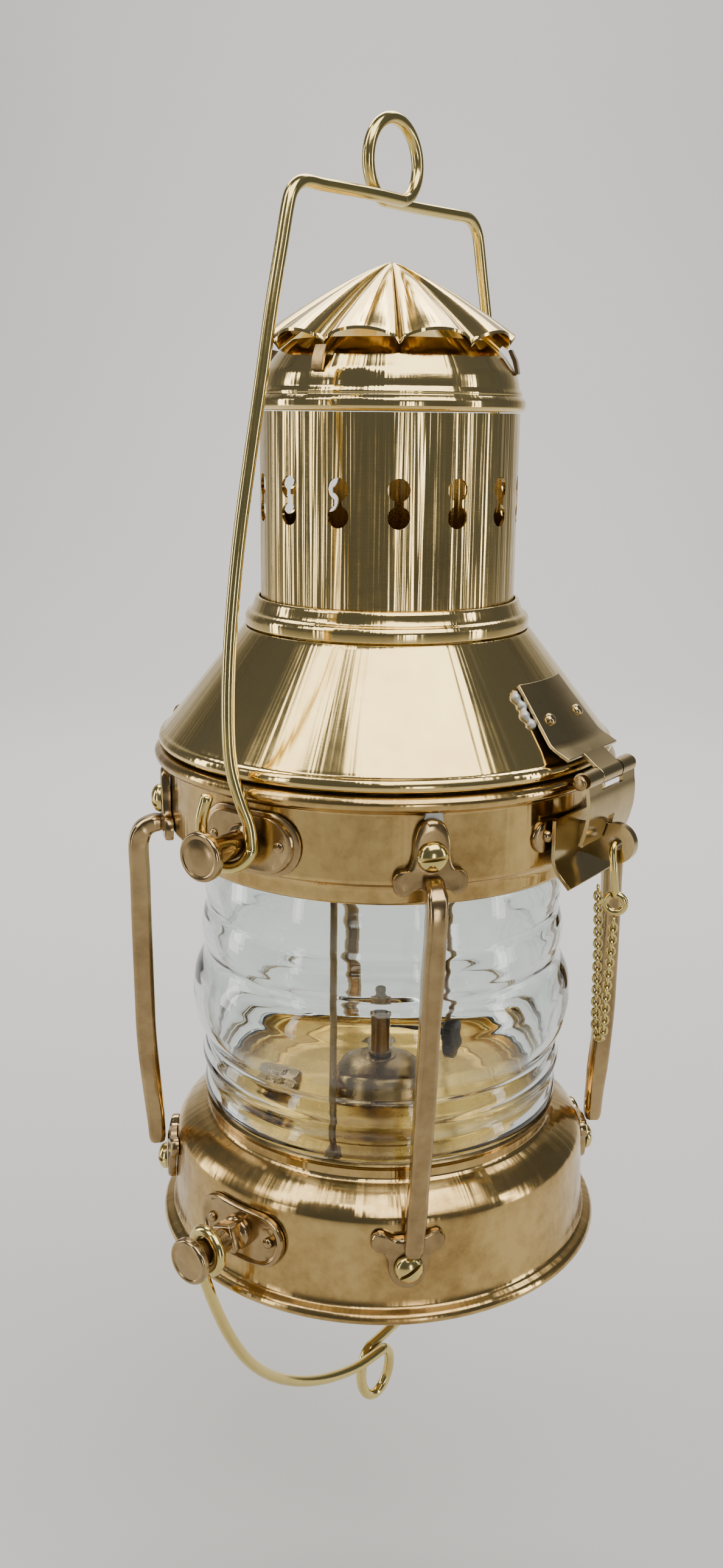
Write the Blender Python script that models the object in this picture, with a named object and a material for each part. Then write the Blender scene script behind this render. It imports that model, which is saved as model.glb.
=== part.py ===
"""Hanging brass ship lantern with two wire bails, a guard of four arms and a hinged hood.

Units: the constants are millimetres, with Z measured up from the foot.
The scene is in metres with the hanging point of the top ring at the origin.
X runs along both pairs of bail pegs, -Y is the hasp side, +Y the hood hinge side.
"""
import math

import bmesh
import bpy
from mathutils import Matrix, Vector

MM = 0.001
PLAY = 0.3                      # gap between pieces that touch
SEGMENTS = 36                   # sides of the large turned pieces
SMALL_SEGMENTS = 14             # sides of the small turned pieces
WIRE_SIDES = 7

# --- base ---
FOOT_RADIUS = 59.5
BASE_RADIUS = 55.2              # at the shoulder
BASE_HEIGHT = 27.4
BASE_TURN = -3.5                # twist of the base fittings against the band, degrees
COLLAR_RADIUS = 46.6
COLLAR_TOP = 36.2
SHEET = 0.9

# --- lens ---
LENS_BOTTOM = 36.6
LENS_TOP = 108.0
LENS_BORE = 43.0
BELT_RADIUS = 50.2
BELT_HEIGHT = 65.0

# --- band that the hood closes on ---
BAND_RADIUS = 55.0
BAND_BOTTOM = 104.6
BAND_TOP = 131.7
BEAD_RADIUS = 58.7

# --- hood ---
BRIM_RADIUS = 57.6
HOOD_BOTTOM = 132.0
CONE_TOP = 161.3
NECK_RADIUS = 35.5
CHIMNEY_RADIUS = 31.5
CHIMNEY_TOP = 212.7
VENTS = 14
VENT_HEIGHT = 192.7
VENT_RADIUS = 2.6
VENT_SPREAD = 3.05
VENT_NECK = 1.1
VENT_TURN = -141.6
DOME_TOP = 229.2
CAP_RADIUS = 29.8
CAP_CUSP_RADIUS = 28.2
CAP_APEX = 247.0
CAP_CUSP_HEIGHT = 227.8
CAP_LOBES = 10
CAP_TURN = -142.0               # direction of one cusp
LEG_TURNS = (-178.0, -70.0, 2.0, 110.0)

# --- guard ---
ARM_TURNS = {"front": -135.0, "right": -45.0, "rear": 45.0, "left": 135.0}
ARM_WIDTH = 4.6
ARM_DEPTH = 5.2
BRACKET_THICK = 1.7
SCREW_RADIUS = 3.3
UPPER_SCREW_HEIGHT = 118.0
LOWER_SCREW_HEIGHT = 16.2

# --- bails ---
WIRE = 1.5                      # radius of the bail wire
PEG_RADIUS = 3.0
PEG_HEAD_RADIUS = 5.7
UPPER_PEG_HEIGHT = 118.0
LOWER_PEG_HEIGHT = 16.5
UPPER_HEAD_START = 70.0
LOWER_HEAD_START = 72.0
COIL_RADIUS = PEG_RADIUS + 0.35 + WIRE
BAR_HEIGHT = 260.5              # centre line of the top bar
RING_RADIUS = 8.9
HOOP_RADIUS = 66.3
EYE_HALF_WIDTH = 5.4
EYE_HALF_HEIGHT = 7.6
LOOP_STEP = 1.8                 # sideways offset of a loop's two ends

HANG_HEIGHT = BAR_HEIGHT + 2 * RING_RADIUS - WIRE

# --- hood hinge and hasp ---
HINGE_Y = 62.5
HINGE_HEIGHT = 131.9
HASP_Y = -62.0
HASP_HEIGHT = 132.3
KNUCKLE = 1.75                  # mean radius of a rolled knuckle
LEAF = 0.9
PIN_RADIUS = 1.0
LUG_Y = -66.0
LUG_HEIGHT = 116.0
LUG_RADIUS = 4.8
LUG_HOLE = 1.7
HOOK_WIRE = 0.9
CHAIN_RADIUS = 1.2

# --- burner ---
TRAY_FLOOR = 32.9
SHAFT_HEIGHT = 50.6
SHAFT_TURN = -76.0

BRASS = ("brass", (0.80, 0.60, 0.28), 0.22, 1.0)
DARK_BRASS = ("dark_brass", (0.42, 0.30, 0.14), 0.38, 1.0)
GLASS = ("lens_glass", (0.90, 0.94, 0.92), 0.04, 0.0)
STEEL = ("burner_steel", (0.30, 0.28, 0.25), 0.35, 1.0)
COTTON = ("wick_cotton", (0.80, 0.74, 0.60), 0.90, 0.0)


def clear_scene():
    for old in list(bpy.data.objects):
        bpy.data.objects.remove(old, do_unlink=True)


def material(spec):
    name, colour, roughness, metallic = spec
    mat = bpy.data.materials.get(name)
    if mat is None:
        mat = bpy.data.materials.new(name)
        mat.use_nodes = True
        shader = mat.node_tree.nodes["Principled BSDF"]
        shader.inputs["Base Color"].default_value = (*colour, 1.0)
        shader.inputs["Roughness"].default_value = roughness
        shader.inputs["Metallic"].default_value = metallic
    return mat


def world(point):
    """Foot coordinates in millimetres to scene coordinates in metres."""
    x, y, z = point
    return Vector((x * MM, y * MM, (z - HANG_HEIGHT) * MM))


def place(name, bm, finish, pivot=(0.0, 0.0, HANG_HEIGHT), smooth=True):
    """Make an object from a bmesh in foot millimetres, with its origin at the pivot."""
    bmesh.ops.recalc_face_normals(bm, faces=bm.faces)
    origin = world(pivot)
    for vert in bm.verts:
        vert.co = world(vert.co) - origin
    mesh = bpy.data.meshes.new(name)
    bm.to_mesh(mesh)
    bm.free()
    mesh.materials.append(material(finish))
    if smooth:
        mesh.shade_smooth()
        mesh.set_sharp_from_angle(angle=math.radians(35))
    obj = bpy.data.objects.new(name, mesh)
    obj.location = origin
    bpy.context.scene.collection.objects.link(obj)
    return obj


def add_lathe(bm, profile, segments, closed=True, matrix=None):
    """Turn (radius, height) points about Z. An open profile starts and ends on the axis."""
    rings = []
    for radius, height in profile:
        if radius < 1e-6:
            rings.append([bm.verts.new((0.0, 0.0, height))])
            continue
        ring = []
        for k in range(segments):
            angle = 2 * math.pi * k / segments
            ring.append(bm.verts.new((radius * math.cos(angle), radius * math.sin(angle), height)))
        rings.append(ring)
    pairs = list(zip(rings, rings[1:]))
    if closed:
        pairs.append((rings[-1], rings[0]))
    for low, high in pairs:
        for k in range(segments):
            n = (k + 1) % segments
            if len(low) == 1 and len(high) == 1:
                continue
            if len(low) == 1:
                bm.faces.new((low[0], high[n], high[k]))
            elif len(high) == 1:
                bm.faces.new((low[k], low[n], high[0]))
            else:
                bm.faces.new((low[k], low[n], high[n], high[k]))
    if matrix is not None:
        verts = [v for ring in rings for v in ring]
        bmesh.ops.transform(bm, matrix=matrix, verts=verts)


def lathe(name, profile, finish, segments=SEGMENTS, closed=True, matrix=None,
          pivot=(0.0, 0.0, HANG_HEIGHT)):
    bm = bmesh.new()
    add_lathe(bm, profile, segments, closed, matrix)
    return place(name, bm, finish, pivot)


def catmull(points, steps):
    """Points of a smooth curve through the given points."""
    pts = [Vector(p) for p in points]
    pts = [pts[0] * 2 - pts[1]] + pts + [pts[-1] * 2 - pts[-2]]
    out = []
    for a, b, c, d in zip(pts, pts[1:], pts[2:], pts[3:]):
        for k in range(steps):
            t = k / steps
            out.append(0.5 * ((2 * b) + (c - a) * t + (2 * a - 5 * b + 4 * c - d) * t ** 2
                              + (3 * b - a - 3 * c + d) * t ** 3))
    out.append(pts[-2].copy())
    return out


def add_tube(bm, path, radius, sides):
    """Sweep a round section along a path, with flat ends."""
    path = [Vector(p) for p in path]
    tangents = []
    for k in range(len(path)):
        before = path[max(k - 1, 0)]
        after = path[min(k + 1, len(path) - 1)]
        tangents.append((after - before).normalized())
    side = tangents[0].orthogonal().normalized()
    rings = []
    for point, tangent in zip(path, tangents):
        side = (side - tangent * side.dot(tangent)).normalized()
        other = tangent.cross(side)
        ring = []
        for k in range(sides):
            angle = 2 * math.pi * k / sides
            offset = side * math.cos(angle) + other * math.sin(angle)
            ring.append(bm.verts.new(point + offset * radius))
        rings.append(ring)
    for low, high in zip(rings, rings[1:]):
        for k in range(sides):
            n = (k + 1) % sides
            bm.faces.new((low[k], low[n], high[n], high[k]))
    bm.faces.new(rings[0][::-1])
    bm.faces.new(rings[-1])


def tube(name, path, radius, finish, sides=WIRE_SIDES, pivot=(0.0, 0.0, HANG_HEIGHT)):
    bm = bmesh.new()
    add_tube(bm, path, radius, sides)
    return place(name, bm, finish, pivot)


def add_prism(bm, outline, low, high, matrix):
    """Extrude an (a, b) outline from low to high along its third axis, then move it."""
    bottom = [bm.verts.new(matrix @ Vector((a, b, low))) for a, b in outline]
    top = [bm.verts.new(matrix @ Vector((a, b, high))) for a, b in outline]
    count = len(outline)
    bm.faces.new(bottom[::-1])
    bm.faces.new(top)
    for k in range(count):
        n = (k + 1) % count
        bm.faces.new((bottom[k], bottom[n], top[n], top[k]))


SIDE_VIEW = Matrix(((0, 0, 1, 0), (1, 0, 0, 0), (0, 1, 0, 0), (0, 0, 0, 1)))


def turn(degrees):
    return Matrix.Rotation(math.radians(degrees), 4, "Z")


def hide_cutter(cutter):
    cutter.hide_render = True
    cutter.display_type = "WIRE"


def boolean(obj, other, operation):
    """Apply an exact Boolean and drop the helper object."""
    hide_cutter(other)
    mod = obj.modifiers.new(operation.lower(), "BOOLEAN")
    mod.operation = operation
    mod.solver = "EXACT"
    mod.object = other
    bpy.context.view_layer.update()
    graph = bpy.context.evaluated_depsgraph_get()
    mesh = bpy.data.meshes.new_from_object(obj.evaluated_get(graph))
    obj.modifiers.clear()
    old = obj.data
    name = old.name
    obj.data = mesh
    bpy.data.meshes.remove(old)
    mesh.name = name
    bpy.data.objects.remove(other, do_unlink=True)
    return obj


def curved_plate(bm, columns, inner, outer, degrees):
    """A plate that wraps a turned wall.

    columns holds (distance along the wall, low, high); inner and outer give the
    radius at a height. The plate is centred on the direction in degrees.
    """
    rows = []
    for along, low, high in columns:
        row = []
        for height in (low, high):
            for wall in (inner, outer):
                radius = wall(height)
                angle = math.radians(degrees) + along / inner(low)
                row.append(bm.verts.new((radius * math.cos(angle), radius * math.sin(angle), height)))
        rows.append(row)
    for a, b in zip(rows, rows[1:]):
        bm.faces.new((a[0], b[0], b[2], a[2]))
        bm.faces.new((a[1], a[3], b[3], b[1]))
        bm.faces.new((a[0], a[1], b[1], b[0]))
        bm.faces.new((a[2], b[2], b[3], a[3]))
    for row in (rows[0], rows[-1]):
        bm.faces.new((row[0], row[2], row[3], row[1]))


def sheet_outline(path, thickness):
    """Closed outline of a folded sheet whose middle follows a path of (a, b) points."""
    pts = [Vector((a, b)) for a, b in path]
    left, right = [], []
    for k, point in enumerate(pts):
        before = (point - pts[k - 1]).normalized() if k else None
        after = (pts[k + 1] - point).normalized() if k + 1 < len(pts) else None
        ways = [w for w in (before, after) if w is not None]
        way = sum(ways, Vector((0.0, 0.0))).normalized()
        normal = Vector((-way.y, way.x))
        stretch = 1.0 / max(normal.dot(Vector((-ways[0].y, ways[0].x))), 0.6)
        left.append(point + normal * thickness / 2 * stretch)
        right.append(point - normal * thickness / 2 * stretch)
    return [(p.x, p.y) for p in left + right[::-1]]


def arc(centre, radius, start, stop, steps):
    points = []
    for k in range(steps + 1):
        angle = math.radians(start + (stop - start) * k / steps)
        points.append((centre[0] + radius * math.cos(angle), centre[1] + radius * math.sin(angle)))
    return points


# --------------------------------------------------------------------------- base

def wall_radius(height):
    """Outer radius of the base wall."""
    return BASE_RADIUS + 1.2 * (24.0 - height) / 20.2


def make_base():
    r = FOOT_RADIUS
    b = BASE_RADIUS
    c = COLLAR_RADIUS
    outer = [(r - 5.4, 0.0), (r - 0.9, 0.0), (r, 0.9), (r - 0.3, 2.2), (b + 1.2, 3.8), (b, 24.0),
             (b - 0.5, 26.0), (b - 1.8, BASE_HEIGHT), (c + 1.2, 31.7), (c, 32.5), (c, 34.6),
             (c + 0.8, COLLAR_TOP)]
    inner = [(c - SHEET, COLLAR_TOP), (c - SHEET, 31.9), (b - 2.5, 26.3), (b - 1.1, 24.5), (b - 0.1, 4.0)]
    lathe("base_shell", outer + inner, BRASS)
    lathe("base_plate", [(0, 0), (r - 5.9, 0), (r - 5.9, 1.2), (0, 1.2)], DARK_BRASS, closed=False)
    # The font is an open-topped tin: its filling hole is under the burner.
    font = [(0, 4.0), (36.5, 4.0), (38.0, 5.5), (38.0, 27.5), (36.0, 29.8), (3.2, 31.3),
            (3.2, 30.6), (35.6, 29.0), (37.2, 27.2), (37.2, 5.9), (36.2, 4.8), (0, 4.8)]
    lathe("oil_font", font, DARK_BRASS, segments=28, closed=False)
    rim = c - SHEET - 0.4
    tray = [(0, 32.0), (rim - 1.0, 32.0), (rim, 32.7), (rim, 35.6), (rim - 0.6, 35.6),
            (rim - 0.7, 33.6), (rim - 1.7, TRAY_FLOOR), (0, TRAY_FLOOR)]
    lathe("burner_tray", tray, BRASS, closed=False)


def make_burner():
    floor = TRAY_FLOOR + PLAY
    body = [(0, floor), (13.2, floor), (13.2, floor + 1.6), (12.6, 36.6), (11.2, 39.4),
            (8.4, 41.4), (4.4, 42.5), (0, 42.5)]
    lathe("burner_body", body, BRASS, segments=24, closed=False)
    top = 42.5 + PLAY
    pipe = [(1.9, top), (2.6, top), (2.6, 59.6), (1.9, 59.6)]
    lathe("wick_tube", pipe, DARK_BRASS, segments=SMALL_SEGMENTS)
    lathe("wick", [(0, top + 0.4), (1.5, top + 0.4), (1.5, 61.0), (0, 61.5)], COTTON,
          segments=12, closed=False)
    cap_floor = Matrix.Translation((-18.0, 22.0, floor))
    cap = [(0, 0), (6.6, 0), (6.6, 3.4), (5.9, 4.4), (2.0, 5.0), (0, 5.0)]
    lathe("filler_cap", cap, BRASS, segments=SMALL_SEGMENTS, closed=False, matrix=cap_floor)
    # The shaft starts beside the wick tube and carries the knob at its outer end.
    lay = turn(SHAFT_TURN) @ Matrix.Rotation(math.radians(90), 4, "Y")
    lift = Matrix.Translation((0, 0, SHAFT_HEIGHT))
    knob = [(0, 3.1), (0.9, 3.1), (0.9, 18.6), (4.3, 18.6), (4.9, 19.3), (4.9, 21.3),
            (4.3, 22.0), (1.4, 22.4), (0, 22.4)]
    lathe("wick_knob", knob, STEEL, segments=SMALL_SEGMENTS, closed=False,
          matrix=lift @ lay, pivot=(0, 0, SHAFT_HEIGHT))


def make_lens():
    profile = [(46.6, LENS_BOTTOM), (47.7, 39.9), (46.6, 43.2), (48.4, 48.0), (46.8, 52.9),
               (49.3, 58.5), (BELT_RADIUS, BELT_HEIGHT), (49.3, 71.5), (46.6, 77.4), (47.6, 83.5),
               (46.0, 90.0), (46.6, 95.0), (45.7, LENS_TOP)]
    lathe("lens", profile + [(LENS_BORE, LENS_TOP), (LENS_BORE, LENS_BOTTOM)], GLASS)


def make_rods():
    """Two tie rods that hold the band down on the lens."""
    for name, degrees in (("tie_rod_front", -162.0), ("tie_rod_rear", 4.0)):
        matrix = turn(degrees) @ Matrix.Translation((40.6, 0, 0))
        rod = [(0, TRAY_FLOOR + PLAY), (2.0, TRAY_FLOOR + PLAY), (2.0, 35.2), (0.85, 35.2),
               (0.85, 126.0), (2.0, 126.0), (2.0, 128.0), (0, 128.0)]
        lathe(name, rod, DARK_BRASS, segments=8, closed=False, matrix=matrix)


def make_band():
    r = BAND_RADIUS
    profile = [(46.4, BAND_BOTTOM), (52.4, BAND_BOTTOM), (52.7, 109.3), (r, 110.6), (r, 127.5),
               (57.8, 128.6), (BEAD_RADIUS, 130.1), (57.6, BAND_TOP), (53.4, BAND_TOP),
               (54.1, 129.4), (54.1, 111.6), (51.6, 109.8), (51.5, 105.6), (46.4, 105.6)]
    lathe("hood_band", profile, BRASS)


# -------------------------------------------------------------------------- guard

def shield(width, low, high, flip):
    """Columns of a three-lobed bracket; flip points its single lobe down."""
    columns = []
    steps = 12
    for k in range(steps + 1):
        t = 2.0 * k / steps - 1.0
        along = t * width / 2
        side = abs(t)
        lobe = math.sqrt(max(1.0 - ((side - 0.62) / 0.385) ** 2, 0.02))
        waist = high - (high - low) * 0.60
        peak = high - (high - low) * 0.13 * (side / 0.34) ** 2
        upper = max(peak if side < 0.36 else low, waist + 0.16 * (high - low) * lobe)
        lower = low + (high - low) * 0.20 * (1.0 - lobe) * (side > 0.62)
        lower += (high - low) * 0.05 * (side < 0.12)
        if flip:
            lower, upper = low + high - upper, low + high - lower
        columns.append((along, lower, max(upper, lower + 1.0)))
    return columns


def screw(name, radius, height, degrees):
    """Dome-headed slotted screw on the outside of a bracket."""
    bm = bmesh.new()
    lay = turn(degrees) @ Matrix.Translation((radius, 0, height)) @ Matrix.Rotation(math.radians(90), 4, "Y")
    dome = [(0, 0), (SCREW_RADIUS, 0), (SCREW_RADIUS, 0.5), (2.9, 1.5), (1.6, 2.2), (0, 2.4)]
    add_lathe(bm, dome, SMALL_SEGMENTS, closed=False, matrix=lay)
    obj = place(name, bm, BRASS)
    cut = bmesh.new()
    box = [(-0.4, -5.0), (0.4, -5.0), (0.4, 5.0), (-0.4, 5.0)]
    add_prism(cut, box, 1.45, 4.0, lay @ Matrix.Rotation(math.radians(35), 4, "Z"))
    boolean(obj, place(name + "_slot", cut, BRASS), "DIFFERENCE")


def make_guard():
    upper_in = BAND_RADIUS + PLAY
    upper_out = upper_in + BRACKET_THICK
    lower_out = wall_radius(6.0) + PLAY + BRACKET_THICK
    for side, degrees in ARM_TURNS.items():
        bm = bmesh.new()
        curved_plate(bm, shield(16.6, 111.4, 126.2, False), lambda z: upper_in, lambda z: upper_out, degrees)
        place("bracket_upper_" + side, bm, BRASS)
        bm = bmesh.new()
        low_turn = degrees + BASE_TURN
        curved_plate(bm, shield(17.0, 10.0, 23.6, True), lambda z: wall_radius(z) + PLAY,
                     lambda z: lower_out, low_turn)
        place("bracket_lower_" + side, bm, BRASS)
        screw("screw_upper_" + side, upper_out + PLAY, UPPER_SCREW_HEIGHT, degrees)
        screw("screw_lower_" + side, lower_out + PLAY, LOWER_SCREW_HEIGHT, low_turn)
        make_arm("guard_arm_" + side, degrees, upper_out, lower_out)


def make_arm(name, degrees, upper_out, lower_out):
    """C-shaped bar with bevelled corners; its ends stand off the brackets."""
    w = ARM_WIDTH / 2
    d = ARM_DEPTH / 2
    c = 0.9
    start = upper_out + PLAY
    start_height = 111.4
    # centre line as (radius, height, half depth); the section is square to the line
    line = [(start, start_height, 2.0), (60.0, 111.2, 2.2), (62.4, 109.6, 2.5), (63.3, 106.4, d),
            (63.2, 100.0, d), (63.1, 75.0, d), (62.9, 55.0, d), (62.2, 42.0, d), (61.0, 30.0, 2.4),
            (lower_out + PLAY + 2.4, 20.9, 2.2)]
    bm = bmesh.new()
    rings = []
    for k, (radius, height, deep) in enumerate(line):
        a = Vector(line[max(k - 1, 0)][:2])
        b = Vector(line[min(k + 1, len(line) - 1)][:2])
        way = (b - a).normalized()
        if k == 0:
            way = Vector((1.0, 0.0))
        if k == len(line) - 1:
            way = Vector((0.0, -1.0))
        across = Vector((-way.y, way.x))
        ring = []
        for u, v in ((-w + c, -deep), (w - c, -deep), (w, -deep + c), (w, deep - c),
                     (w - c, deep), (-w + c, deep), (-w, deep - c), (-w, -deep + c)):
            spot = Vector((radius, height)) + across * v
            lean = turn(BASE_TURN * (start_height - height) / start_height)
            ring.append(bm.verts.new(lean @ Vector((spot.x, u, spot.y))))
        rings.append(ring)
    for low, high in zip(rings, rings[1:]):
        for k in range(8):
            n = (k + 1) % 8
            bm.faces.new((low[k], low[n], high[n], high[k]))
    bm.faces.new(rings[0][::-1])
    bm.faces.new(rings[-1])
    bmesh.ops.transform(bm, matrix=turn(degrees), verts=bm.verts)
    place(name, bm, BRASS)


# -------------------------------------------------------------------------- bails

def stadium(half_length, low, high):
    radius = (high - low) / 2
    middle = (low + high) / 2
    columns = []
    flat = half_length - radius
    for k in range(5):
        angle = math.radians(90.0 * k / 4)
        reach = max(radius * math.sin(angle), 0.6)
        columns.append((-flat - radius * math.cos(angle), middle - reach, middle + reach))
    columns.append((0.0, low, high))
    return columns + [(-a, lo, hi) for a, lo, hi in reversed(columns[:-1])]


def trunnion(name, degrees, height, half_height, inner, outer, head_start):
    """Riveted plate with the peg that a bail turns on."""
    bm = bmesh.new()
    curved_plate(bm, stadium(14.2, height - half_height, height + half_height), inner, outer, degrees)
    obj = place(name, bm, BRASS)
    peg = bmesh.new()
    root = outer(height) - 0.8
    profile = [(0, root), (PEG_RADIUS, root), (PEG_RADIUS, head_start), (PEG_HEAD_RADIUS, head_start),
               (PEG_HEAD_RADIUS, head_start + 1.4), (4.6, head_start + 2.4), (0, head_start + 2.8)]
    lay = turn(degrees) @ Matrix.Translation((0, 0, height)) @ Matrix.Rotation(math.radians(90), 4, "Y")
    add_lathe(peg, profile, SMALL_SEGMENTS, closed=False, matrix=lay)
    boolean(obj, place(name + "_peg", peg, BRASS), "UNION")


def make_trunnions():
    upper_in = BAND_RADIUS + PLAY
    lower_out = wall_radius(6.0) + PLAY + 1.6
    for side, degrees in (("left", 180.0), ("right", 0.0)):
        trunnion("trunnion_upper_" + side, degrees, UPPER_PEG_HEIGHT, 7.5,
                 lambda z: upper_in, lambda z: upper_in + 1.7, UPPER_HEAD_START)
        trunnion("trunnion_lower_" + side, degrees + BASE_TURN, LOWER_PEG_HEIGHT, 6.9,
                 lambda z: wall_radius(z) + PLAY, lambda z: lower_out, LOWER_HEAD_START)


def coil(sign, height, x_start, x_stop, start, stop, steps):
    """Turn of wire round a peg. Angles are about the peg, 0 on +Y and 90 up."""
    points = []
    for k in range(steps + 1):
        t = k / steps
        angle = math.radians(start + (stop - start) * t)
        x = x_start + (x_stop - x_start) * t
        points.append(Vector((sign * x, COIL_RADIUS * math.cos(angle), height + COIL_RADIUS * math.sin(angle))))
    return points


def make_upper_bail():
    """Wire handle with a ring curled in the middle of its top bar."""
    z = UPPER_PEG_HEIGHT
    leg = [(59.9, -4.3, z + 5.2), (60.9, -2.6, 129.0), (61.6, -0.6, 137.0), (61.6, 0, 148.0),
           (60.6, 0, 164.0), (57.5, 0, 184.0), (53.4, 0, 202.0), (49.4, 0, 218.0), (45.6, 0, 234.0),
           (42.0, 0, 247.0)]
    corner = [(39.6, 0, 254.4), (36.4, 0, 258.9), (31.5, 0, BAR_HEIGHT)]
    halves = []
    for sign in (-1.0, 1.0):
        turns = coil(sign, z, 64.6, 59.8, 355.0, 180.0, 9)
        tail = [(65.4, 3.0, z + 12.4), (65.9, 4.6, z + 6.0)]
        wire = [Vector((sign * x, y, h)) for x, y, h in tail] + turns
        climb = catmull([turns[-1]] + [(sign * x, y, h) for x, y, h in leg + corner]
                        + [(sign * 22.0, sign * LOOP_STEP * 0.4, BAR_HEIGHT)], 2)
        halves.append(wire + climb[1:])
    ring = []
    for k in range(1, 20):
        angle = math.radians(-90.0 + 360.0 * k / 20)
        ring.append(Vector((RING_RADIUS * math.cos(angle), LOOP_STEP * (2.0 * k / 20 - 1.0),
                            BAR_HEIGHT + RING_RADIUS + RING_RADIUS * math.sin(angle))))
    left = halves[0] + [Vector((-11.0, -LOOP_STEP, BAR_HEIGHT)), Vector((0, -LOOP_STEP, BAR_HEIGHT))]
    right = [Vector((0, LOOP_STEP, BAR_HEIGHT)), Vector((11.0, LOOP_STEP, BAR_HEIGHT))] + halves[1][::-1]
    tube("upper_bail", left + ring + right, WIRE, BRASS)


def make_lower_bail():
    """Wire hoop that hangs below the foot, with an oval eye at its lowest point."""
    z = LOWER_PEG_HEIGHT
    halves = []
    for sign in (-1.0, 1.0):
        turns = coil(sign, z, 68.6, HOOP_RADIUS, 240.0, -20.0, 11)
        hoop = []
        for k in range(1, 10):
            angle = math.radians(90.0 * k / 10)
            out = HOOP_RADIUS * math.cos(angle)
            y = COIL_RADIUS * max(1.0 - k / 2.5, 0.0)
            if k > 6:
                y = sign * LOOP_STEP * (k - 6) / 3.0
            hoop.append(Vector((sign * out, y, z - HOOP_RADIUS * math.sin(angle) + 0.0)))
        wire = catmull([turns[-1]] + hoop, 2)
        halves.append(turns + wire[1:])
    low = z - HOOP_RADIUS
    eye = []
    for k in range(1, 18):
        angle = math.radians(90.0 - 360.0 * k / 18)
        eye.append(Vector((EYE_HALF_WIDTH * math.cos(angle), LOOP_STEP * (2.0 * k / 18 - 1.0),
                           low - EYE_HALF_HEIGHT + EYE_HALF_HEIGHT * math.sin(angle))))
    left = halves[0] + [Vector((-2.0, -LOOP_STEP, low + 0.05)), Vector((0, -LOOP_STEP, low))]
    right = [Vector((0, LOOP_STEP, low)), Vector((2.0, LOOP_STEP, low + 0.05))] + halves[1][::-1]
    path = [turn(BASE_TURN) @ point for point in left + eye + right]
    tube("lower_bail", path, WIRE, BRASS, pivot=(0, 0, z))


# --------------------------------------------------------------------------- hood

def cone_radius(height):
    """Outer radius of the hood cone."""
    return 55.4 - (55.4 - 35.6) * (height - 136.4) / (CONE_TOP - 136.4)


def make_hood():
    pivot = (0, HINGE_Y, HINGE_HEIGHT)
    r = BRIM_RADIUS
    cone = [(53.2, HOOD_BOTTOM), (r - 1.2, HOOD_BOTTOM), (r - 0.2, 132.7), (r, 133.9), (r - 0.5, 135.2),
            (55.4, 136.4), (35.6, CONE_TOP), (34.4, CONE_TOP), (54.0, 136.6), (53.2, 134.6)]
    lathe("hood_cone", cone, BRASS, pivot=pivot)
    low = CONE_TOP + PLAY
    n = NECK_RADIUS
    bore = CHIMNEY_RADIUS + 0.4
    neck = [(bore, low), (n, low), (n, low + 2.8), (n - 0.6, low + 3.6), (n - 2.0, low + 4.5),
            (n - 2.7, low + 5.6), (n - 2.9, low + 7.0), (bore, low + 7.0)]
    lathe("neck_ring", neck, BRASS, pivot=pivot)
    make_chimney(pivot, low + 0.4)
    c = CHIMNEY_RADIUS
    base = CHIMNEY_TOP + PLAY
    dome = [(c - 0.7, base), (c + 0.6, base), (c + 1.3, base + 1.2), (c + 1.2, base + 3.2),
            (c - 0.5, base + 5.3), (c - 0.4, base + 6.6), (c - 2.3, 223.4), (c - 4.3, 226.2),
            (c - 8.0, DOME_TOP), (c - 8.6, DOME_TOP - 0.6), (c - 5.0, 225.4), (c - 3.1, 222.8),
            (c - 1.3, base + 6.0), (c - 0.7, base + 3.8)]
    lathe("draught_dome", dome, BRASS, pivot=pivot)
    make_cap(pivot)
    for k, degrees in enumerate(LEG_TURNS):
        bm = bmesh.new()
        outline = [(30.6, 221.5), (31.3, 221.9), (29.1, 226.6), (28.4, 226.4)]
        flip = turn(degrees) @ Matrix(((1, 0, 0, 0), (0, 0, 1, 0), (0, 1, 0, 0), (0, 0, 0, 1)))
        add_prism(bm, outline, -1.5, 1.5, flip)
        place("cap_leg_%d" % (k + 1), bm, DARK_BRASS, pivot)


def vent_outline():
    """Keyhole pair: two round holes joined by a narrow neck, as (across, up)."""
    up = [(VENT_NECK, 0.0)]
    start = math.degrees(math.asin(VENT_NECK / VENT_RADIUS))
    up += [(VENT_RADIUS * math.sin(math.radians(a)), VENT_SPREAD - VENT_RADIUS * math.cos(math.radians(a)))
           for a in (start, 60, 90, 120, 150, 180)]
    right = [(x, -y) for x, y in reversed(up[1:])] + up
    left = [(-x, y) for x, y in reversed(right[1:-1])]
    return right + left


def make_chimney(pivot, low):
    c = CHIMNEY_RADIUS
    obj = lathe("chimney", [(c - 0.7, low), (c, low), (c, CHIMNEY_TOP), (c - 0.7, CHIMNEY_TOP)], BRASS,
                pivot=pivot)
    cut = bmesh.new()
    outward = Matrix(((0, 0, 1, 0), (1, 0, 0, 0), (0, 1, 0, VENT_HEIGHT), (0, 0, 0, 1)))
    for k in range(VENTS):
        add_prism(cut, vent_outline(), c - 6.0, c + 6.0, turn(VENT_TURN + 360.0 * k / VENTS) @ outward)
    boolean(obj, place("vent_cutter", cut, BRASS, pivot), "DIFFERENCE")


def cap_height(share, lobe):
    """Height of the cap's top at a share of the radius; lobe is 0 on a cusp, 1 on a crest."""
    crest = CAP_APEX - 16.0 * share ** 1.25
    cusp = CAP_APEX - (CAP_APEX - CAP_CUSP_HEIGHT) * share ** 1.06
    return cusp + (crest - cusp) * lobe


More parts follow.
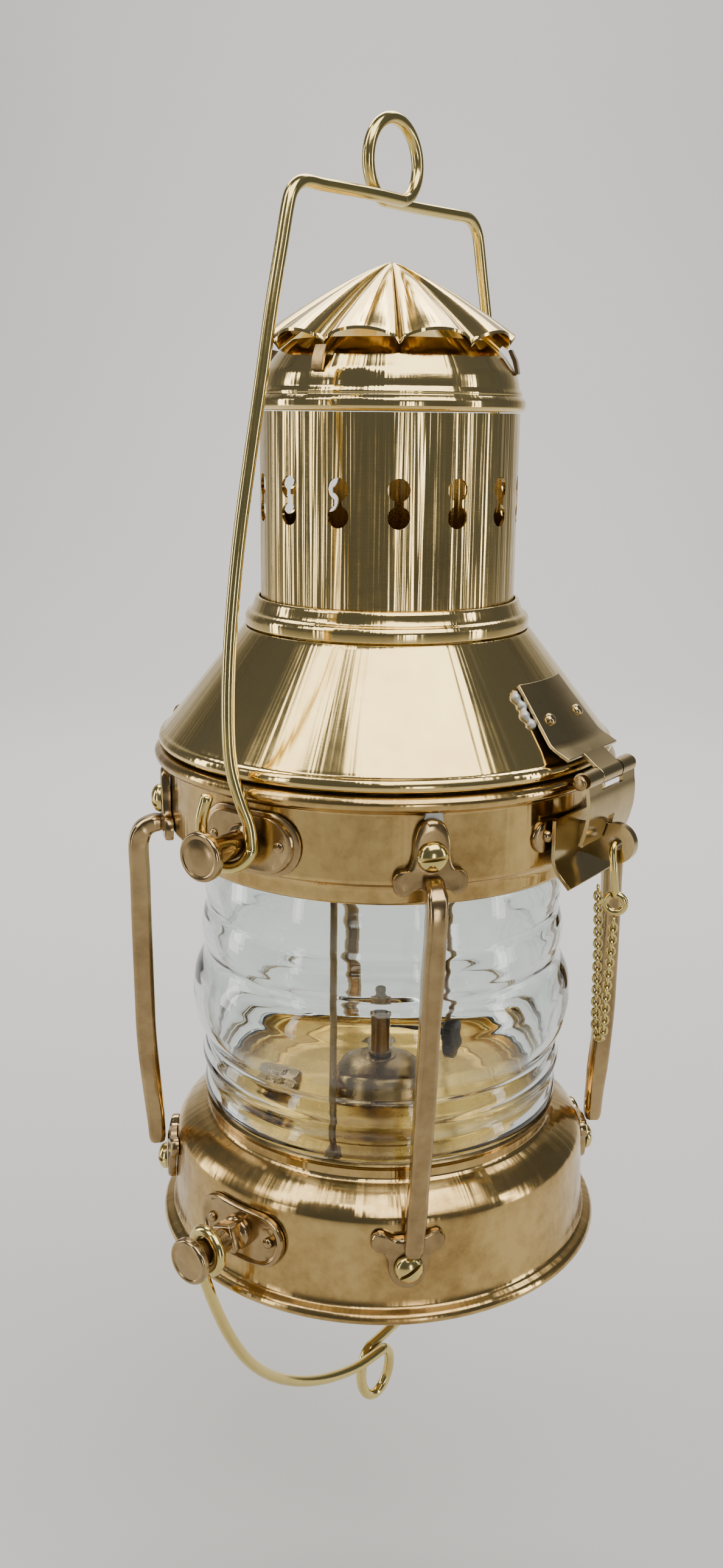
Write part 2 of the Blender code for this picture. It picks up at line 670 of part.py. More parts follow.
def make_cap(pivot):
    per_lobe = 5
    count = CAP_LOBES * per_lobe
    shares = (0.14, 0.36, 0.62, 0.84, 1.0)
    sheet = 0.7
    bm = bmesh.new()
    sides = []
    for drop in (0.0, sheet):
        tip = bm.verts.new((0, 0, CAP_APEX - drop))
        rings = []
        for share in shares:
            ring = []
            for k in range(count):
                u = (k % per_lobe) / per_lobe
                lobe = max(1.0 - (2 * u - 1) ** 2, 0.0) ** 0.62
                edge = CAP_CUSP_RADIUS + (CAP_RADIUS - CAP_CUSP_RADIUS) * lobe
                radius = share * (CAP_RADIUS + (edge - CAP_RADIUS) * share)
                angle = math.radians(CAP_TURN) + 2 * math.pi * k / count
                ring.append(bm.verts.new((radius * math.cos(angle), radius * math.sin(angle),
                                          cap_height(share, lobe) - drop)))
            rings.append(ring)
        for k in range(count):
            n = (k + 1) % count
            bm.faces.new((tip, rings[0][k], rings[0][n]))
            for low, high in zip(rings, rings[1:]):
                bm.faces.new((low[k], high[k], high[n], low[n]))
        sides.append(rings[-1])
    for k in range(count):
        n = (k + 1) % count
        bm.faces.new((sides[0][k], sides[1][k], sides[1][n], sides[0][n]))
    place("cap", bm, BRASS, pivot)


# ----------------------------------------------------------------- hinge and hasp

def leaf(name, path, half_width, gaps, finish, pivot, extra=None):
    """Folded sheet along X with box-shaped cuts (x from, x to, y from, y to, z from, z to)."""
    bm = bmesh.new()
    add_prism(bm, sheet_outline(path, LEAF), -half_width, half_width, SIDE_VIEW)
    obj = place(name, bm, finish, pivot)
    if extra is not None:
        boolean(obj, extra, "UNION")
    for k, (x0, x1, y0, y1, z0, z1) in enumerate(gaps):
        cut = bmesh.new()
        add_prism(cut, [(y0, z0), (y1, z0), (y1, z1), (y0, z1)], x0, x1, SIDE_VIEW)
        boolean(obj, place("%s_cut%d" % (name, k), cut, finish, pivot), "DIFFERENCE")
    return obj


def pin(name, half_length, y, z, pivot):
    bm = bmesh.new()
    profile = [(0, -half_length - 1.0), (1.7, -half_length - 0.8), (1.7, -half_length), (PIN_RADIUS, -half_length),
               (PIN_RADIUS, half_length), (1.7, half_length), (1.7, half_length + 0.8), (0, half_length + 1.0)]
    lay = Matrix.Translation((0, y, z)) @ Matrix.Rotation(math.radians(90), 4, "Y")
    add_lathe(bm, profile, 12, closed=False, matrix=lay)
    place(name, bm, DARK_BRASS, pivot)


def make_hinge():
    centre = (HINGE_Y, HINGE_HEIGHT)
    pivot = (0, HINGE_Y, HINGE_HEIGHT)
    top = 149.0
    hood_path = [(cone_radius(top) + 0.95, top), (cone_radius(138.6) + 0.95, 138.6), (58.6, 136.2)]
    hood_path += arc(centre, KNUCKLE, 75.0, -205.0, 12)
    outside = [(-12.0, -4.0, 58.4, 66.0, 126.0, 137.4), (4.0, 12.0, 58.4, 66.0, 126.0, 137.4)]
    leaf("hinge_leaf_hood", hood_path, 9.0, outside, BRASS, pivot)
    band_path = [(55.9, 113.0), (55.9, 125.4), (60.4, 128.6)]
    band_path += arc(centre, KNUCKLE, -85.0, 195.0, 12)
    leaf("hinge_leaf_band", band_path, 9.0, [(-4.4, 4.4, 58.6, 66.0, 126.6, 137.0)], BRASS,
         (0.0, 0.0, HANG_HEIGHT))
    pin("hinge_pin", 9.4, HINGE_Y, HINGE_HEIGHT, (0.0, 0.0, HANG_HEIGHT))


def make_hasp():
    centre = (HASP_Y, HASP_HEIGHT)
    pivot = (0, HINGE_Y, HINGE_HEIGHT)
    top = 152.0
    plate_path = [(-cone_radius(top) - 1.6, top), (-cone_radius(138.8) - 1.6, 138.8), (-58.6, 136.8)]
    plate_path += arc(centre, KNUCKLE, 105.0, 385.0, 12)
    gaps = [(-20.0, -5.0, -66.0, -58.3, 126.0, 137.8), (5.0, 20.0, -66.0, -58.3, 126.0, 137.8),
            (-20.0, -8.0, -60.0, -40.0, 147.0, 156.0), (8.0, 20.0, -60.0, -40.0, 147.0, 156.0)]
    leaf("hasp_plate", plate_path, 12.5, gaps, BRASS, pivot)
    strap_path = [(-62.2, 117.2), (-63.1, 120.0), (-63.8, 123.4), (-63.9, 127.0), (-63.6, 129.4)]
    strap_path += arc(centre, KNUCKLE, 216.0, 0.0, 10)
    strap_gaps = [(-5.4, 5.4, -67.0, -58.0, 129.0, 137.0), (-1.7, 1.7, -67.0, -58.0, 115.0, 122.6)]
    leaf("hasp_strap", strap_path, 12.0, strap_gaps, BRASS, (0, HASP_Y, HASP_HEIGHT))
    pin("hasp_pin", 12.9, HASP_Y, HASP_HEIGHT, pivot)
    make_lug()
    make_hook()


def make_lug():
    """Staple plate on the band: an upright ear with a hole, and a flared lip below."""
    ear = bmesh.new()
    outline = arc((LUG_Y, LUG_HEIGHT), LUG_RADIUS, -120.0, 120.0, 14)
    outline = [(-y + 2 * LUG_Y, z) for y, z in outline]
    outline += [(-55.8, LUG_HEIGHT + 3.6), (-55.8, LUG_HEIGHT - 3.6)]
    add_prism(ear, outline, -0.8, 0.8, SIDE_VIEW)
    extra = place("lug_ear", ear, BRASS)
    path = [(-55.95, 122.4), (-55.95, 112.6), (-57.4, 109.8), (-60.6, 106.6)]
    obj = leaf("hasp_lug", path, 13.0, [], BRASS, (0.0, 0.0, HANG_HEIGHT), extra)
    hole = bmesh.new()
    lay = Matrix.Translation((0, LUG_Y, LUG_HEIGHT)) @ Matrix.Rotation(math.radians(90), 4, "Y")
    add_lathe(hole, [(0, -4), (LUG_HOLE, -4), (LUG_HOLE, 4), (0, 4)], 12, closed=False, matrix=lay)
    boolean(obj, place("lug_hole", hole, BRASS), "DIFFERENCE")


def make_hook():
    """Wire hook through the lug, and the chain that keeps it from being lost."""
    y, z = LUG_Y, LUG_HEIGHT
    bend = [(4.6, y, z), (0.6, y, z), (-1.7, y, z - 0.1), (-2.7, y - 0.3, z - 1.7), (-3.0, y - 0.8, z - 5.0),
            (-2.6, y - 1.1, z - 9.0), (-2.0, y - 1.2, z - 12.0)]
    path = catmull(bend, 2)
    eye = [Vector((-2.0 + 2.0 * math.sin(math.radians(a)) * 0.3, y - 1.2 - 2.2 * math.sin(math.radians(a)),
                   z - 14.2 + 2.2 * math.cos(math.radians(a)))) for a in range(30, 331, 30)]
    tube("hasp_hook", path + eye, HOOK_WIRE, BRASS, sides=6, pivot=(0, y, z))
    low = z - 17.4 - CHAIN_RADIUS
    route = [(-2.0, y - 1.2, low), (-1.7, y - 0.7, 88.0), (-1.4, y - 0.1, 78.0), (-1.4, y + 0.0, 70.5),
             (-1.05, y + 0.5, 67.2), (-0.1, y + 1.75, 65.8), (0.85, y + 3.0, 67.2), (1.2, y + 3.5, 70.5),
             (1.1, y + 3.7, 80.0), (1.0, y + 4.0, 93.0), (0.8, y + 4.3, 105.0)]
    tube("hook_chain", catmull(route, 3), CHAIN_RADIUS, DARK_BRASS, sides=6)


def main():
    clear_scene()
    make_base()
    make_burner()
    make_lens()
    make_rods()
    make_band()
    make_guard()
    make_trunnions()
    make_upper_bail()
    make_lower_bail()
    make_hood()
    make_hinge()
    make_hasp()


main()
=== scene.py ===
"""Looks of the hanging brass ship lantern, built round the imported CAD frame.

Heights and radii are millimetres measured up from the foot, turned into the frame's metres by at().
"""
import math

import bmesh
import bpy
from mathutils import Matrix, Vector


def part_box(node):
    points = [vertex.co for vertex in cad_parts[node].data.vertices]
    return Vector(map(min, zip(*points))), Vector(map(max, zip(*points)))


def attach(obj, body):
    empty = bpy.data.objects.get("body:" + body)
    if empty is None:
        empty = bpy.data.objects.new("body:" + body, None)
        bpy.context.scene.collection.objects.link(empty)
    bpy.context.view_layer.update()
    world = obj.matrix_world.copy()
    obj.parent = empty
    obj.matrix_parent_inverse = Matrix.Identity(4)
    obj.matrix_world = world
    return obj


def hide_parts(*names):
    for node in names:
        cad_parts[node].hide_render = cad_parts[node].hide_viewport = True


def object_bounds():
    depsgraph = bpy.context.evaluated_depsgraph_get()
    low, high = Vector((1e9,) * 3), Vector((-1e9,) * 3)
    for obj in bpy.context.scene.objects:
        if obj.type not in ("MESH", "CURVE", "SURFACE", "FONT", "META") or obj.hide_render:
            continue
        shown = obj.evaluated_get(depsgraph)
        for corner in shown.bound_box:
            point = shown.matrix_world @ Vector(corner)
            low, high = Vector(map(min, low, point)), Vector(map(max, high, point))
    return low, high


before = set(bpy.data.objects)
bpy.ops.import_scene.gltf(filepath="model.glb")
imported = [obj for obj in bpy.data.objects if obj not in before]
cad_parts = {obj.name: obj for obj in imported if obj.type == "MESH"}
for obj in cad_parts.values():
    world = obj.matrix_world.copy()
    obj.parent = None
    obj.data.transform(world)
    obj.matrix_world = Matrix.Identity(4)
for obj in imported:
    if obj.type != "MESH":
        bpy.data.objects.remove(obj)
cad_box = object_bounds()

MM = 0.001
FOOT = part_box("base_plate")[0].z
TURNED = 192                     # sides of the large turned pieces
WIRE = 1.46                      # radius of the bail wire
TO_X = Matrix.Rotation(math.radians(90), 4, "Y")          # lays a turned piece's axis along X
CAMERA_BEARING = -146.0          # side of the lantern that the camera sees, degrees
BACKDROP_TURN = -56.0            # turn that puts the backdrop behind the lantern
KNOB_TURN = -76.0                # side that the wick knob points to
LUG_Y, LUG_Z = -66.0, 116.0      # hole of the hasp's ear
CONE_LOW, CONE_HIGH = (55.4, 136.4), (35.6, 161.3)        # (radius, height) of the hood's slope


def at(x, y, z):
    """Foot millimetres to frame metres."""
    return Vector((x * MM, y * MM, FOOT + z * MM))


# ------------------------------------------------------------------ node helpers

class Graph:
    """Small helper to write shader nodes as expressions."""

    def __init__(self, name):
        self.mat = bpy.data.materials.new(name)
        self.mat.use_nodes = True
        self.tree = self.mat.node_tree
        self.shader = self.tree.nodes["Principled BSDF"]

    def new(self, kind, **settings):
        node = self.tree.nodes.new(kind)
        for key, value in settings.items():
            setattr(node, key, value)
        return node

    def feed(self, socket, value):
        if isinstance(value, bpy.types.NodeSocket):
            self.tree.links.new(value, socket)
        elif isinstance(value, (tuple, list)) and len(value) == 3 and socket.type == "RGBA":
            socket.default_value = (*value, 1.0)
        else:
            socket.default_value = value

    def math(self, operation, a, b=0.0, c=0.0, clamp=False):
        node = self.new("ShaderNodeMath", operation=operation, use_clamp=clamp)
        for socket, value in zip(node.inputs, (a, b, c)):
            self.feed(socket, value)
        return node.outputs[0]

    def coords(self):
        return self.new("ShaderNodeTexCoord").outputs["Object"]

    def scaled(self, vector, scale):
        node = self.new("ShaderNodeVectorMath", operation="MULTIPLY")
        self.feed(node.inputs[0], vector)
        node.inputs[1].default_value = scale
        return node.outputs[0]

    def round_coords(self, vector):
        """(angle, height, radius) about the Z axis, for marks left by turning and spinning."""
        split = self.new("ShaderNodeSeparateXYZ")
        self.feed(split.inputs[0], vector)
        x, y, z = split.outputs
        angle = self.math("ARCTAN2", y, x)
        radius = self.math("SQRT", self.math("ADD", self.math("MULTIPLY", x, x), self.math("MULTIPLY", y, y)))
        join = self.new("ShaderNodeCombineXYZ")
        for socket, value in zip(join.inputs, (angle, z, radius)):
            self.feed(socket, value)
        return join.outputs[0]

    def noise(self, vector, scale=1.0, detail=3.0, rough=0.55, distortion=0.0):
        node = self.new("ShaderNodeTexNoise")
        self.feed(node.inputs["Vector"], vector)
        node.inputs["Scale"].default_value = scale
        node.inputs["Detail"].default_value = detail
        node.inputs["Roughness"].default_value = rough
        node.inputs["Distortion"].default_value = distortion
        return node.outputs["Fac"]

    def ramp(self, value, stops):
        node = self.new("ShaderNodeValToRGB")
        self.feed(node.inputs[0], value)
        elements = node.color_ramp.elements
        while len(elements) < len(stops):
            elements.new(0.5)
        for element, (place, colour) in zip(elements, stops):
            element.position = place
            element.color = (*colour, 1.0) if isinstance(colour, tuple) else (colour, colour, colour, 1.0)
        return node.outputs[0]

    def mix(self, factor, a, b, blend="MIX"):
        node = self.new("ShaderNodeMix", data_type="RGBA", blend_type=blend)
        self.feed(node.inputs["Factor"], factor)
        self.feed(node.inputs["A"], a)
        self.feed(node.inputs["B"], b)
        return node.outputs["Result"]

    def bump(self, height, strength, distance, normal=None):
        node = self.new("ShaderNodeBump")
        node.inputs["Strength"].default_value = strength
        node.inputs["Distance"].default_value = distance
        self.feed(node.inputs["Height"], height)
        if normal is not None:
            self.feed(node.inputs["Normal"], normal)
        return node.outputs[0]

    def crevice(self, distance):
        """1 in the open, falling to 0 in tight corners."""
        node = self.new("ShaderNodeAmbientOcclusion", samples=4)
        node.inputs["Distance"].default_value = distance
        return node.outputs["AO"]


def brass(name, tone=(0.90, 0.67, 0.27), stain=(0.48, 0.31, 0.09), rough=0.05, stained=0.35,
          lines="turned", line_bump=0.05, dents=0.07, waves=0.0, corner_shade_and_deposits=True):
    """Hand-polished brass: tarnish clouds, tool marks, soft dents, and painted shade in the corners, where an
    occlusion node darkens the colour; it stands also for the dark deposits in the joints.
    """
    g = Graph(name)
    obj = g.coords()
    if lines == "turned":
        grain = g.scaled(g.round_coords(obj), (5.0, 5200.0, 5200.0))
    elif lines == "along_z":
        grain = g.scaled(obj, (3000.0, 3000.0, 90.0))
    else:
        grain = g.scaled(obj, (900.0, 900.0, 900.0))
    clouds = g.noise(obj, 38.0, 5.0, 0.62, 0.4)
    spots = g.noise(obj, 260.0, 4.0, 0.65)
    fine = g.noise(grain, 1.0, 3.0, 0.6)
    patches = g.ramp(g.math("MULTIPLY_ADD", spots, 0.35, g.math("MULTIPLY", clouds, 0.65)),
                     [(0.40, 0.0), (0.66, 1.0)])
    cover = g.math("MULTIPLY", patches, stained, clamp=True)
    colour = g.mix(cover, tone, stain)
    colour = g.mix(g.math("MULTIPLY", fine, 0.22), colour, tuple(0.72 * c for c in tone))
    # Painted shade: an occlusion node darkens tight corners and joints towards a near-black brown (0.075,
    # 0.045, 0.018), standing also for the dark deposits the joints hold; the same mask roughens them.
    if corner_shade_and_deposits:
        shade_and_deposits = g.ramp(g.crevice(0.0035), [(0.25, 1.0), (0.72, 0.0)])
        shade_and_deposits = g.math("MULTIPLY", shade_and_deposits, g.math("MULTIPLY_ADD", spots, 0.9, 0.25), clamp=True)
        colour = g.mix(shade_and_deposits, colour, (0.075, 0.045, 0.018))
        worn = g.math("MULTIPLY_ADD", shade_and_deposits, 0.35, g.math("MULTIPLY_ADD", cover, 0.22, rough))
    else:
        worn = g.math("MULTIPLY_ADD", cover, 0.22, rough)
    g.feed(g.shader.inputs["Base Color"], colour)
    g.feed(g.shader.inputs["Roughness"], g.math("MULTIPLY_ADD", fine, 0.07, worn, clamp=True))
    g.shader.inputs["Metallic"].default_value = 1.0
    soft = g.bump(g.noise(obj, 70.0, 2.0, 0.5), dents, 0.0006)
    if waves:
        # rolled sheet is never quite round: upright ripples that break reflections into streaks
        ripple = g.noise(g.scaled(g.round_coords(obj), (7.0, 4.0, 4.0)), 1.0, 3.0, 0.6, 0.3)
        soft = g.bump(ripple, waves, 0.010, soft)
    g.feed(g.shader.inputs["Normal"], g.bump(fine, line_bump, 0.00012, soft))
    return g.mat


def glass(name):
    """Clear pressed glass with a faint green-grey body, dust film and slight ripple."""
    g = Graph(name)
    obj = g.coords()
    film = g.noise(obj, 60.0, 5.0, 0.6)
    g.shader.inputs["Base Color"].default_value = (0.86, 0.90, 0.90, 1.0)
    g.shader.inputs["Transmission Weight"].default_value = 1.0
    g.shader.inputs["IOR"].default_value = 1.47
    g.feed(g.shader.inputs["Roughness"], g.ramp(film, [(0.45, 0.0), (0.85, 0.10)]))
    ripple = g.noise(g.scaled(g.round_coords(obj), (3.0, 160.0, 30.0)), 1.0, 2.0, 0.5)
    g.feed(g.shader.inputs["Normal"], g.bump(ripple, 0.12, 0.0006))
    return g.mat


def paint(name, colour, other, rough, metallic, bump=0.2, scale=400.0):
    g = Graph(name)
    obj = g.coords()
    blot = g.noise(obj, scale, 4.0, 0.6)
    g.feed(g.shader.inputs["Base Color"], g.mix(blot, colour, other))
    g.feed(g.shader.inputs["Roughness"], g.math("MULTIPLY_ADD", blot, 0.2, rough))
    g.shader.inputs["Metallic"].default_value = metallic
    g.feed(g.shader.inputs["Normal"], g.bump(blot, bump, 0.0002))
    return g.mat


M = {
    "turned": brass("brass_turned", waves=0.05),
    "pipe": brass("brass_pipe", stained=0.5, line_bump=0.07, rough=0.07, waves=0.16),
    "wall": brass("brass_wall", tone=(0.66, 0.46, 0.18), stain=(0.30, 0.17, 0.05), stained=0.9,
                  line_bump=0.07, rough=0.08, waves=0.045),
    "wire": brass("brass_wire", tone=(0.80, 0.64, 0.24), lines="grain", line_bump=0.10, dents=0.15,
                  rough=0.09),
    "cast": brass("brass_cast", tone=(0.50, 0.35, 0.17), stain=(0.19, 0.12, 0.05), lines="grain",
                  line_bump=0.16, dents=0.35, rough=0.10, stained=0.75),
    "sheet": brass("brass_sheet", tone=(0.60, 0.46, 0.22), stain=(0.30, 0.20, 0.09), lines="along_z",
                   rough=0.10, stained=0.6),
    "dark": brass("brass_dark", tone=(0.40, 0.27, 0.12), stain=(0.14, 0.085, 0.04), rough=0.20,
                  stained=0.7, lines="grain", line_bump=0.2),
    "tray": brass("brass_tray", tone=(0.93, 0.62, 0.15), stain=(0.50, 0.28, 0.06), rough=0.16, stained=0.9,
                  dents=0.4),
    "solder": paint("solder_grey", (0.42, 0.42, 0.40), (0.62, 0.61, 0.58), 0.38, 1.0, 0.6, 900.0),
    "glass": glass("lens_glass"),
    "steel": paint("burner_dark", (0.05, 0.045, 0.04), (0.12, 0.10, 0.08), 0.35, 0.9),
    "cotton": paint("wick_cotton", (0.72, 0.66, 0.52), (0.32, 0.26, 0.18), 0.85, 0.0, 0.8, 2200.0),
}


# ------------------------------------------------------------------ mesh helpers

def mesh_from(name, bm):
    """Turn a bmesh in foot millimetres into a mesh in frame metres."""
    bmesh.ops.recalc_face_normals(bm, faces=bm.faces)
    for vert in bm.verts:
        vert.co = at(*vert.co)
    mesh = bpy.data.meshes.new(name)
    bm.to_mesh(mesh)
    bm.free()
    return mesh


def shade(mesh, sharp=38.0):
    """Smooth shading, with edges kept sharp above an angle in degrees."""
    mesh.shade_smooth()
    if sharp:
        mesh.set_sharp_from_angle(angle=math.radians(sharp))


def linked(name, data):
    obj = bpy.data.objects.new(name, data)
    bpy.context.scene.collection.objects.link(obj)
    return obj


def finish_piece(name, bm, mat, nodes=(), body="lantern", slot="brass", sharp=38.0):
    """Turn a bmesh in foot millimetres into a piece that rides on a body."""
    mesh = mesh_from(name, bm)
    mesh.materials.append(M[mat])
    shade(mesh, sharp)
    obj = linked(name, mesh)
    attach(obj, body)
    if nodes:
        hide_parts(*nodes)
    return obj


def built(name, mat, node, add, *shape, **settings):
    """Piece made by one shape function, standing in for one node."""
    bm = bmesh.new()
    add(bm, *shape)
    return finish_piece(name, bm, mat, [node], **settings)


def fillet(points, radius=0.25, steps=4, closed=True):
    """Round the corners of a polygon of (a, b) or (a, b, corner radius) points."""
    pts = [Vector(p[:2]) for p in points]
    radii = [p[2] if len(p) > 2 else radius for p in points]
    out = []
    count = len(pts)
    for k, point in enumerate(pts):
        if not closed and k in (0, count - 1):
            out.append((point.x, point.y))
            continue
        before = pts[k - 1] - point
        after = pts[(k + 1) % count] - point
        cut = min(radii[k], before.length * 0.45, after.length * 0.45)
        if cut < 1e-4:
            out.append((point.x, point.y))
            continue
        a = point + before.normalized() * cut
        b = point + after.normalized() * cut
        for s in range(steps + 1):
            t = s / steps
            q = a * (1 - t) ** 2 + point * 2 * t * (1 - t) + b * t ** 2
            out.append((q.x, q.y))
    return out


def bridge(bm, low, high):
    """Join two rings of vertices with quads."""
    count = len(low)
    for k in range(count):
        n = (k + 1) % count
        bm.faces.new((low[k], low[n], high[n], high[k]))


def cap_ends(bm, rings):
    bm.faces.new(rings[0][::-1])
    bm.faces.new(rings[-1])


def circle(radius, sides):
    """(x, y) points round a circle."""
    return [(radius * math.cos(2 * math.pi * k / sides), radius * math.sin(2 * math.pi * k / sides))
            for k in range(sides)]


def add_lathe(bm, profile, segments, closed=True, matrix=None):
    """Turn a profile of (radius, height) about Z."""
    rings = []
    for radius, height in profile:
        if radius < 1e-6:
            rings.append([bm.verts.new((0.0, 0.0, height))])
            continue
        rings.append([bm.verts.new((x, y, height)) for x, y in circle(radius, segments)])
    pairs = list(zip(rings, rings[1:]))
    if closed:
        pairs.append((rings[-1], rings[0]))
    for low, high in pairs:
        if len(low) > 1 and len(high) > 1:
            bridge(bm, low, high)
            continue
        for k in range(segments):
            n = (k + 1) % segments
            if len(high) > 1:
                bm.faces.new((low[0], high[n], high[k]))
            elif len(low) > 1:
                bm.faces.new((low[k], low[n], high[0]))
    if matrix is not None:
        bmesh.ops.transform(bm, matrix=matrix, verts=[v for ring in rings for v in ring])


def lathe(name, profile, mat, nodes, body="lantern", slot="brass", segments=TURNED, closed=True,
          matrix=None, corner=0.25, steps=4):
    bm = bmesh.new()
    add_lathe(bm, fillet(profile, corner, steps, closed), segments, closed, matrix)
    return finish_piece(name, bm, mat, nodes, body, slot, 0 if mat == "glass" else 50.0)


def spline_point(a, b, c, d, t):
    """Point between b and c on the smooth curve through a, b, c and d."""
    return 0.5 * ((2 * b) + (c - a) * t + (2 * a - 5 * b + 4 * c - d) * t ** 2
                  + (3 * b - a - 3 * c + d) * t ** 3)


def catmull(points, steps):
    """Smooth open curve through the points."""
    pts = [Vector(p) for p in points]
    pts = [pts[0] * 2 - pts[1]] + pts + [pts[-1] * 2 - pts[-2]]
    out = []
    for a, b, c, d in zip(pts, pts[1:], pts[2:], pts[3:]):
        for k in range(steps):
            out.append(spline_point(a, b, c, d, k / steps))
    out.append(pts[-2].copy())
    return out


def add_tube(bm, path, radius, sides, loop=False):
    """Sweep a round section along a path. radius may be a function of the share of the path."""
    path = [Vector(p) for p in path]
    count = len(path)
    tangents = []
    for k in range(count):
        before = path[k - 1] if loop or k else path[0]
        after = path[(k + 1) % count] if loop or k + 1 < count else path[-1]
        tangents.append((after - before).normalized())
    side = tangents[0].orthogonal().normalized()
    rings = []

    def ring_at(point, tangent, size):
        nonlocal side
        side = (side - tangent * side.dot(tangent)).normalized()
        other = tangent.cross(side)
        rings.append([bm.verts.new(point + (side * x + other * y) * size) for x, y in circle(1.0, sides)])

    def size_at(share):
        return radius(share) if callable(radius) else radius

    def round_end(k, inward, size, shares):
        for share in shares:
            inset = size * (1 - math.cos(share * math.pi / 2)) * 0.35
            ring_at(path[k] + tangents[k] * inset * inward, tangents[k], size * math.sin(share * math.pi / 2))

    if not loop:
        round_end(0, 1.0, size_at(0.0), (0.2, 0.55, 0.85))
    start = 0 if loop else 1
    for k in range(start, count - start):
        ring_at(path[k], tangents[k], size_at(k / (count - 1)))
    if not loop:
        round_end(-1, -1.0, size_at(1.0), (0.85, 0.55, 0.2))
    pairs = list(zip(rings, rings[1:]))
    if loop:
        # the frame turns a little round a loop, so the last ring is matched by its nearest point
        last, first = rings[-1], rings[0]
        shift = min(range(sides), key=lambda s: sum((last[k].co - first[(k + s) % sides].co).length
                                                    for k in range(sides)))
        pairs.append((last, [first[(k + shift) % sides] for k in range(sides)]))
    for low, high in pairs:
        bridge(bm, low, high)
    if not loop:
        cap_ends(bm, rings)


def turn(degrees):
    return Matrix.Rotation(math.radians(degrees), 4, "Z")


def arc(centre, radius, start, stop, steps):
    return [(centre[0] + radius * math.cos(math.radians(start + (stop - start) * k / steps)),
             centre[1] + radius * math.sin(math.radians(start + (stop - start) * k / steps)))
            for k in range(steps + 1)]


# -------------------------------------------------------------------------- stage

def make_camera():
    """Camera in front of the left quarter, a hand's length away, looking slightly down."""
    distance, height = 350.0, 212.0
    bearing = math.radians(CAMERA_BEARING)
    eye = at(distance * math.cos(bearing), distance * math.sin(bearing), height)
    pitch, yaw, roll = math.radians(-14.81), math.radians(-0.96), math.radians(0.62)
    look = math.atan2(-eye.y, -eye.x) - yaw
    forward = Vector((math.cos(look) * math.cos(pitch), math.sin(look) * math.cos(pitch), math.sin(pitch)))
    right = forward.cross(Vector((0, 0, 1))).normalized()
    up = right.cross(forward)
    right, up = (right * math.cos(roll) + up * math.sin(roll), up * math.cos(roll) - right * math.sin(roll))
    data = bpy.data.cameras.new("camera")
    data.sensor_width = 36.0
    data.lens = 32.04
    data.clip_start, data.clip_end = 0.01, 50.0
    camera = linked("camera", data)
    camera.matrix_world = Matrix((
        (right.x, up.x, -forward.x, eye.x),
        (right.y, up.y, -forward.y, eye.y),
        (right.z, up.z, -forward.z, eye.z),
        (0, 0, 0, 1)))
    bpy.context.scene.camera = camera


def soft_box(name, turn_deg, lift_deg, distance, size, radiance, aim=None, colour=(1.0, 0.97, 0.92)):
    """Softbox aimed at the lantern. turn_deg is counted from the camera's side, positive to its right."""
    mid = at(0, 0, 110)
    bearing, lift = math.radians(turn_deg + CAMERA_BEARING), math.radians(lift_deg)
    way = Vector((math.cos(bearing) * math.cos(lift), math.sin(bearing) * math.cos(lift), math.sin(lift)))
    data = bpy.data.lights.new(name, "AREA")
    data.shape = "RECTANGLE"
    data.size, data.size_y = size
    data.energy = radiance * math.pi * size[0] * size[1]
    data.color = colour
    light = linked(name, data)
    light.location = mid + way * distance
    light.rotation_mode = "QUATERNION"
    toward = (aim - light.location).normalized() if aim else -way
    light.rotation_quaternion = toward.to_track_quat("-Z", "Y")
    light.visible_camera = False


def make_backdrop():
    """Pale floor that sweeps up into a wall behind the lantern."""
    low = cad_box[0].z - 0.06
    bend, depth, top = 0.9, 1.3, 3.0
    section = [(-2.6, 0.0), (-1.3, 0.0), (-0.4, 0.0), (0.4, 0.0), (depth, 0.0)]
    section += [(depth + bend * math.sin(a), bend - bend * math.cos(a))
                for a in [math.radians(90 * k / 16) for k in range(1, 17)]]
    section.append((depth + bend, top))
    bm = bmesh.new()
    columns = []
    for across in (-3.2, -1.6, 0.0, 1.6, 3.2):
        columns.append([bm.verts.new((across, along, low + up)) for along, up in section])
    for left, right in zip(columns, columns[1:]):
        for k in range(len(section) - 1):
            bm.faces.new((left[k], right[k], right[k + 1], left[k + 1]))
    bmesh.ops.rotate(bm, cent=(0, 0, 0), verts=bm.verts,
                     matrix=Matrix.Rotation(math.radians(BACKDROP_TURN), 3, "Z"))
    mesh = bpy.data.meshes.new("floor")
    bm.to_mesh(mesh)
    bm.free()
    mesh.shade_smooth()
    g = Graph("floor_pale")
    cloud = g.noise(g.coords(), 3.0, 3.0)
    g.feed(g.shader.inputs["Base Color"], g.mix(cloud, (0.47, 0.47, 0.46), (0.50, 0.50, 0.49)))
    g.shader.inputs["Roughness"].default_value = 0.8
    mesh.materials.append(g.mat)
    linked("floor", mesh)


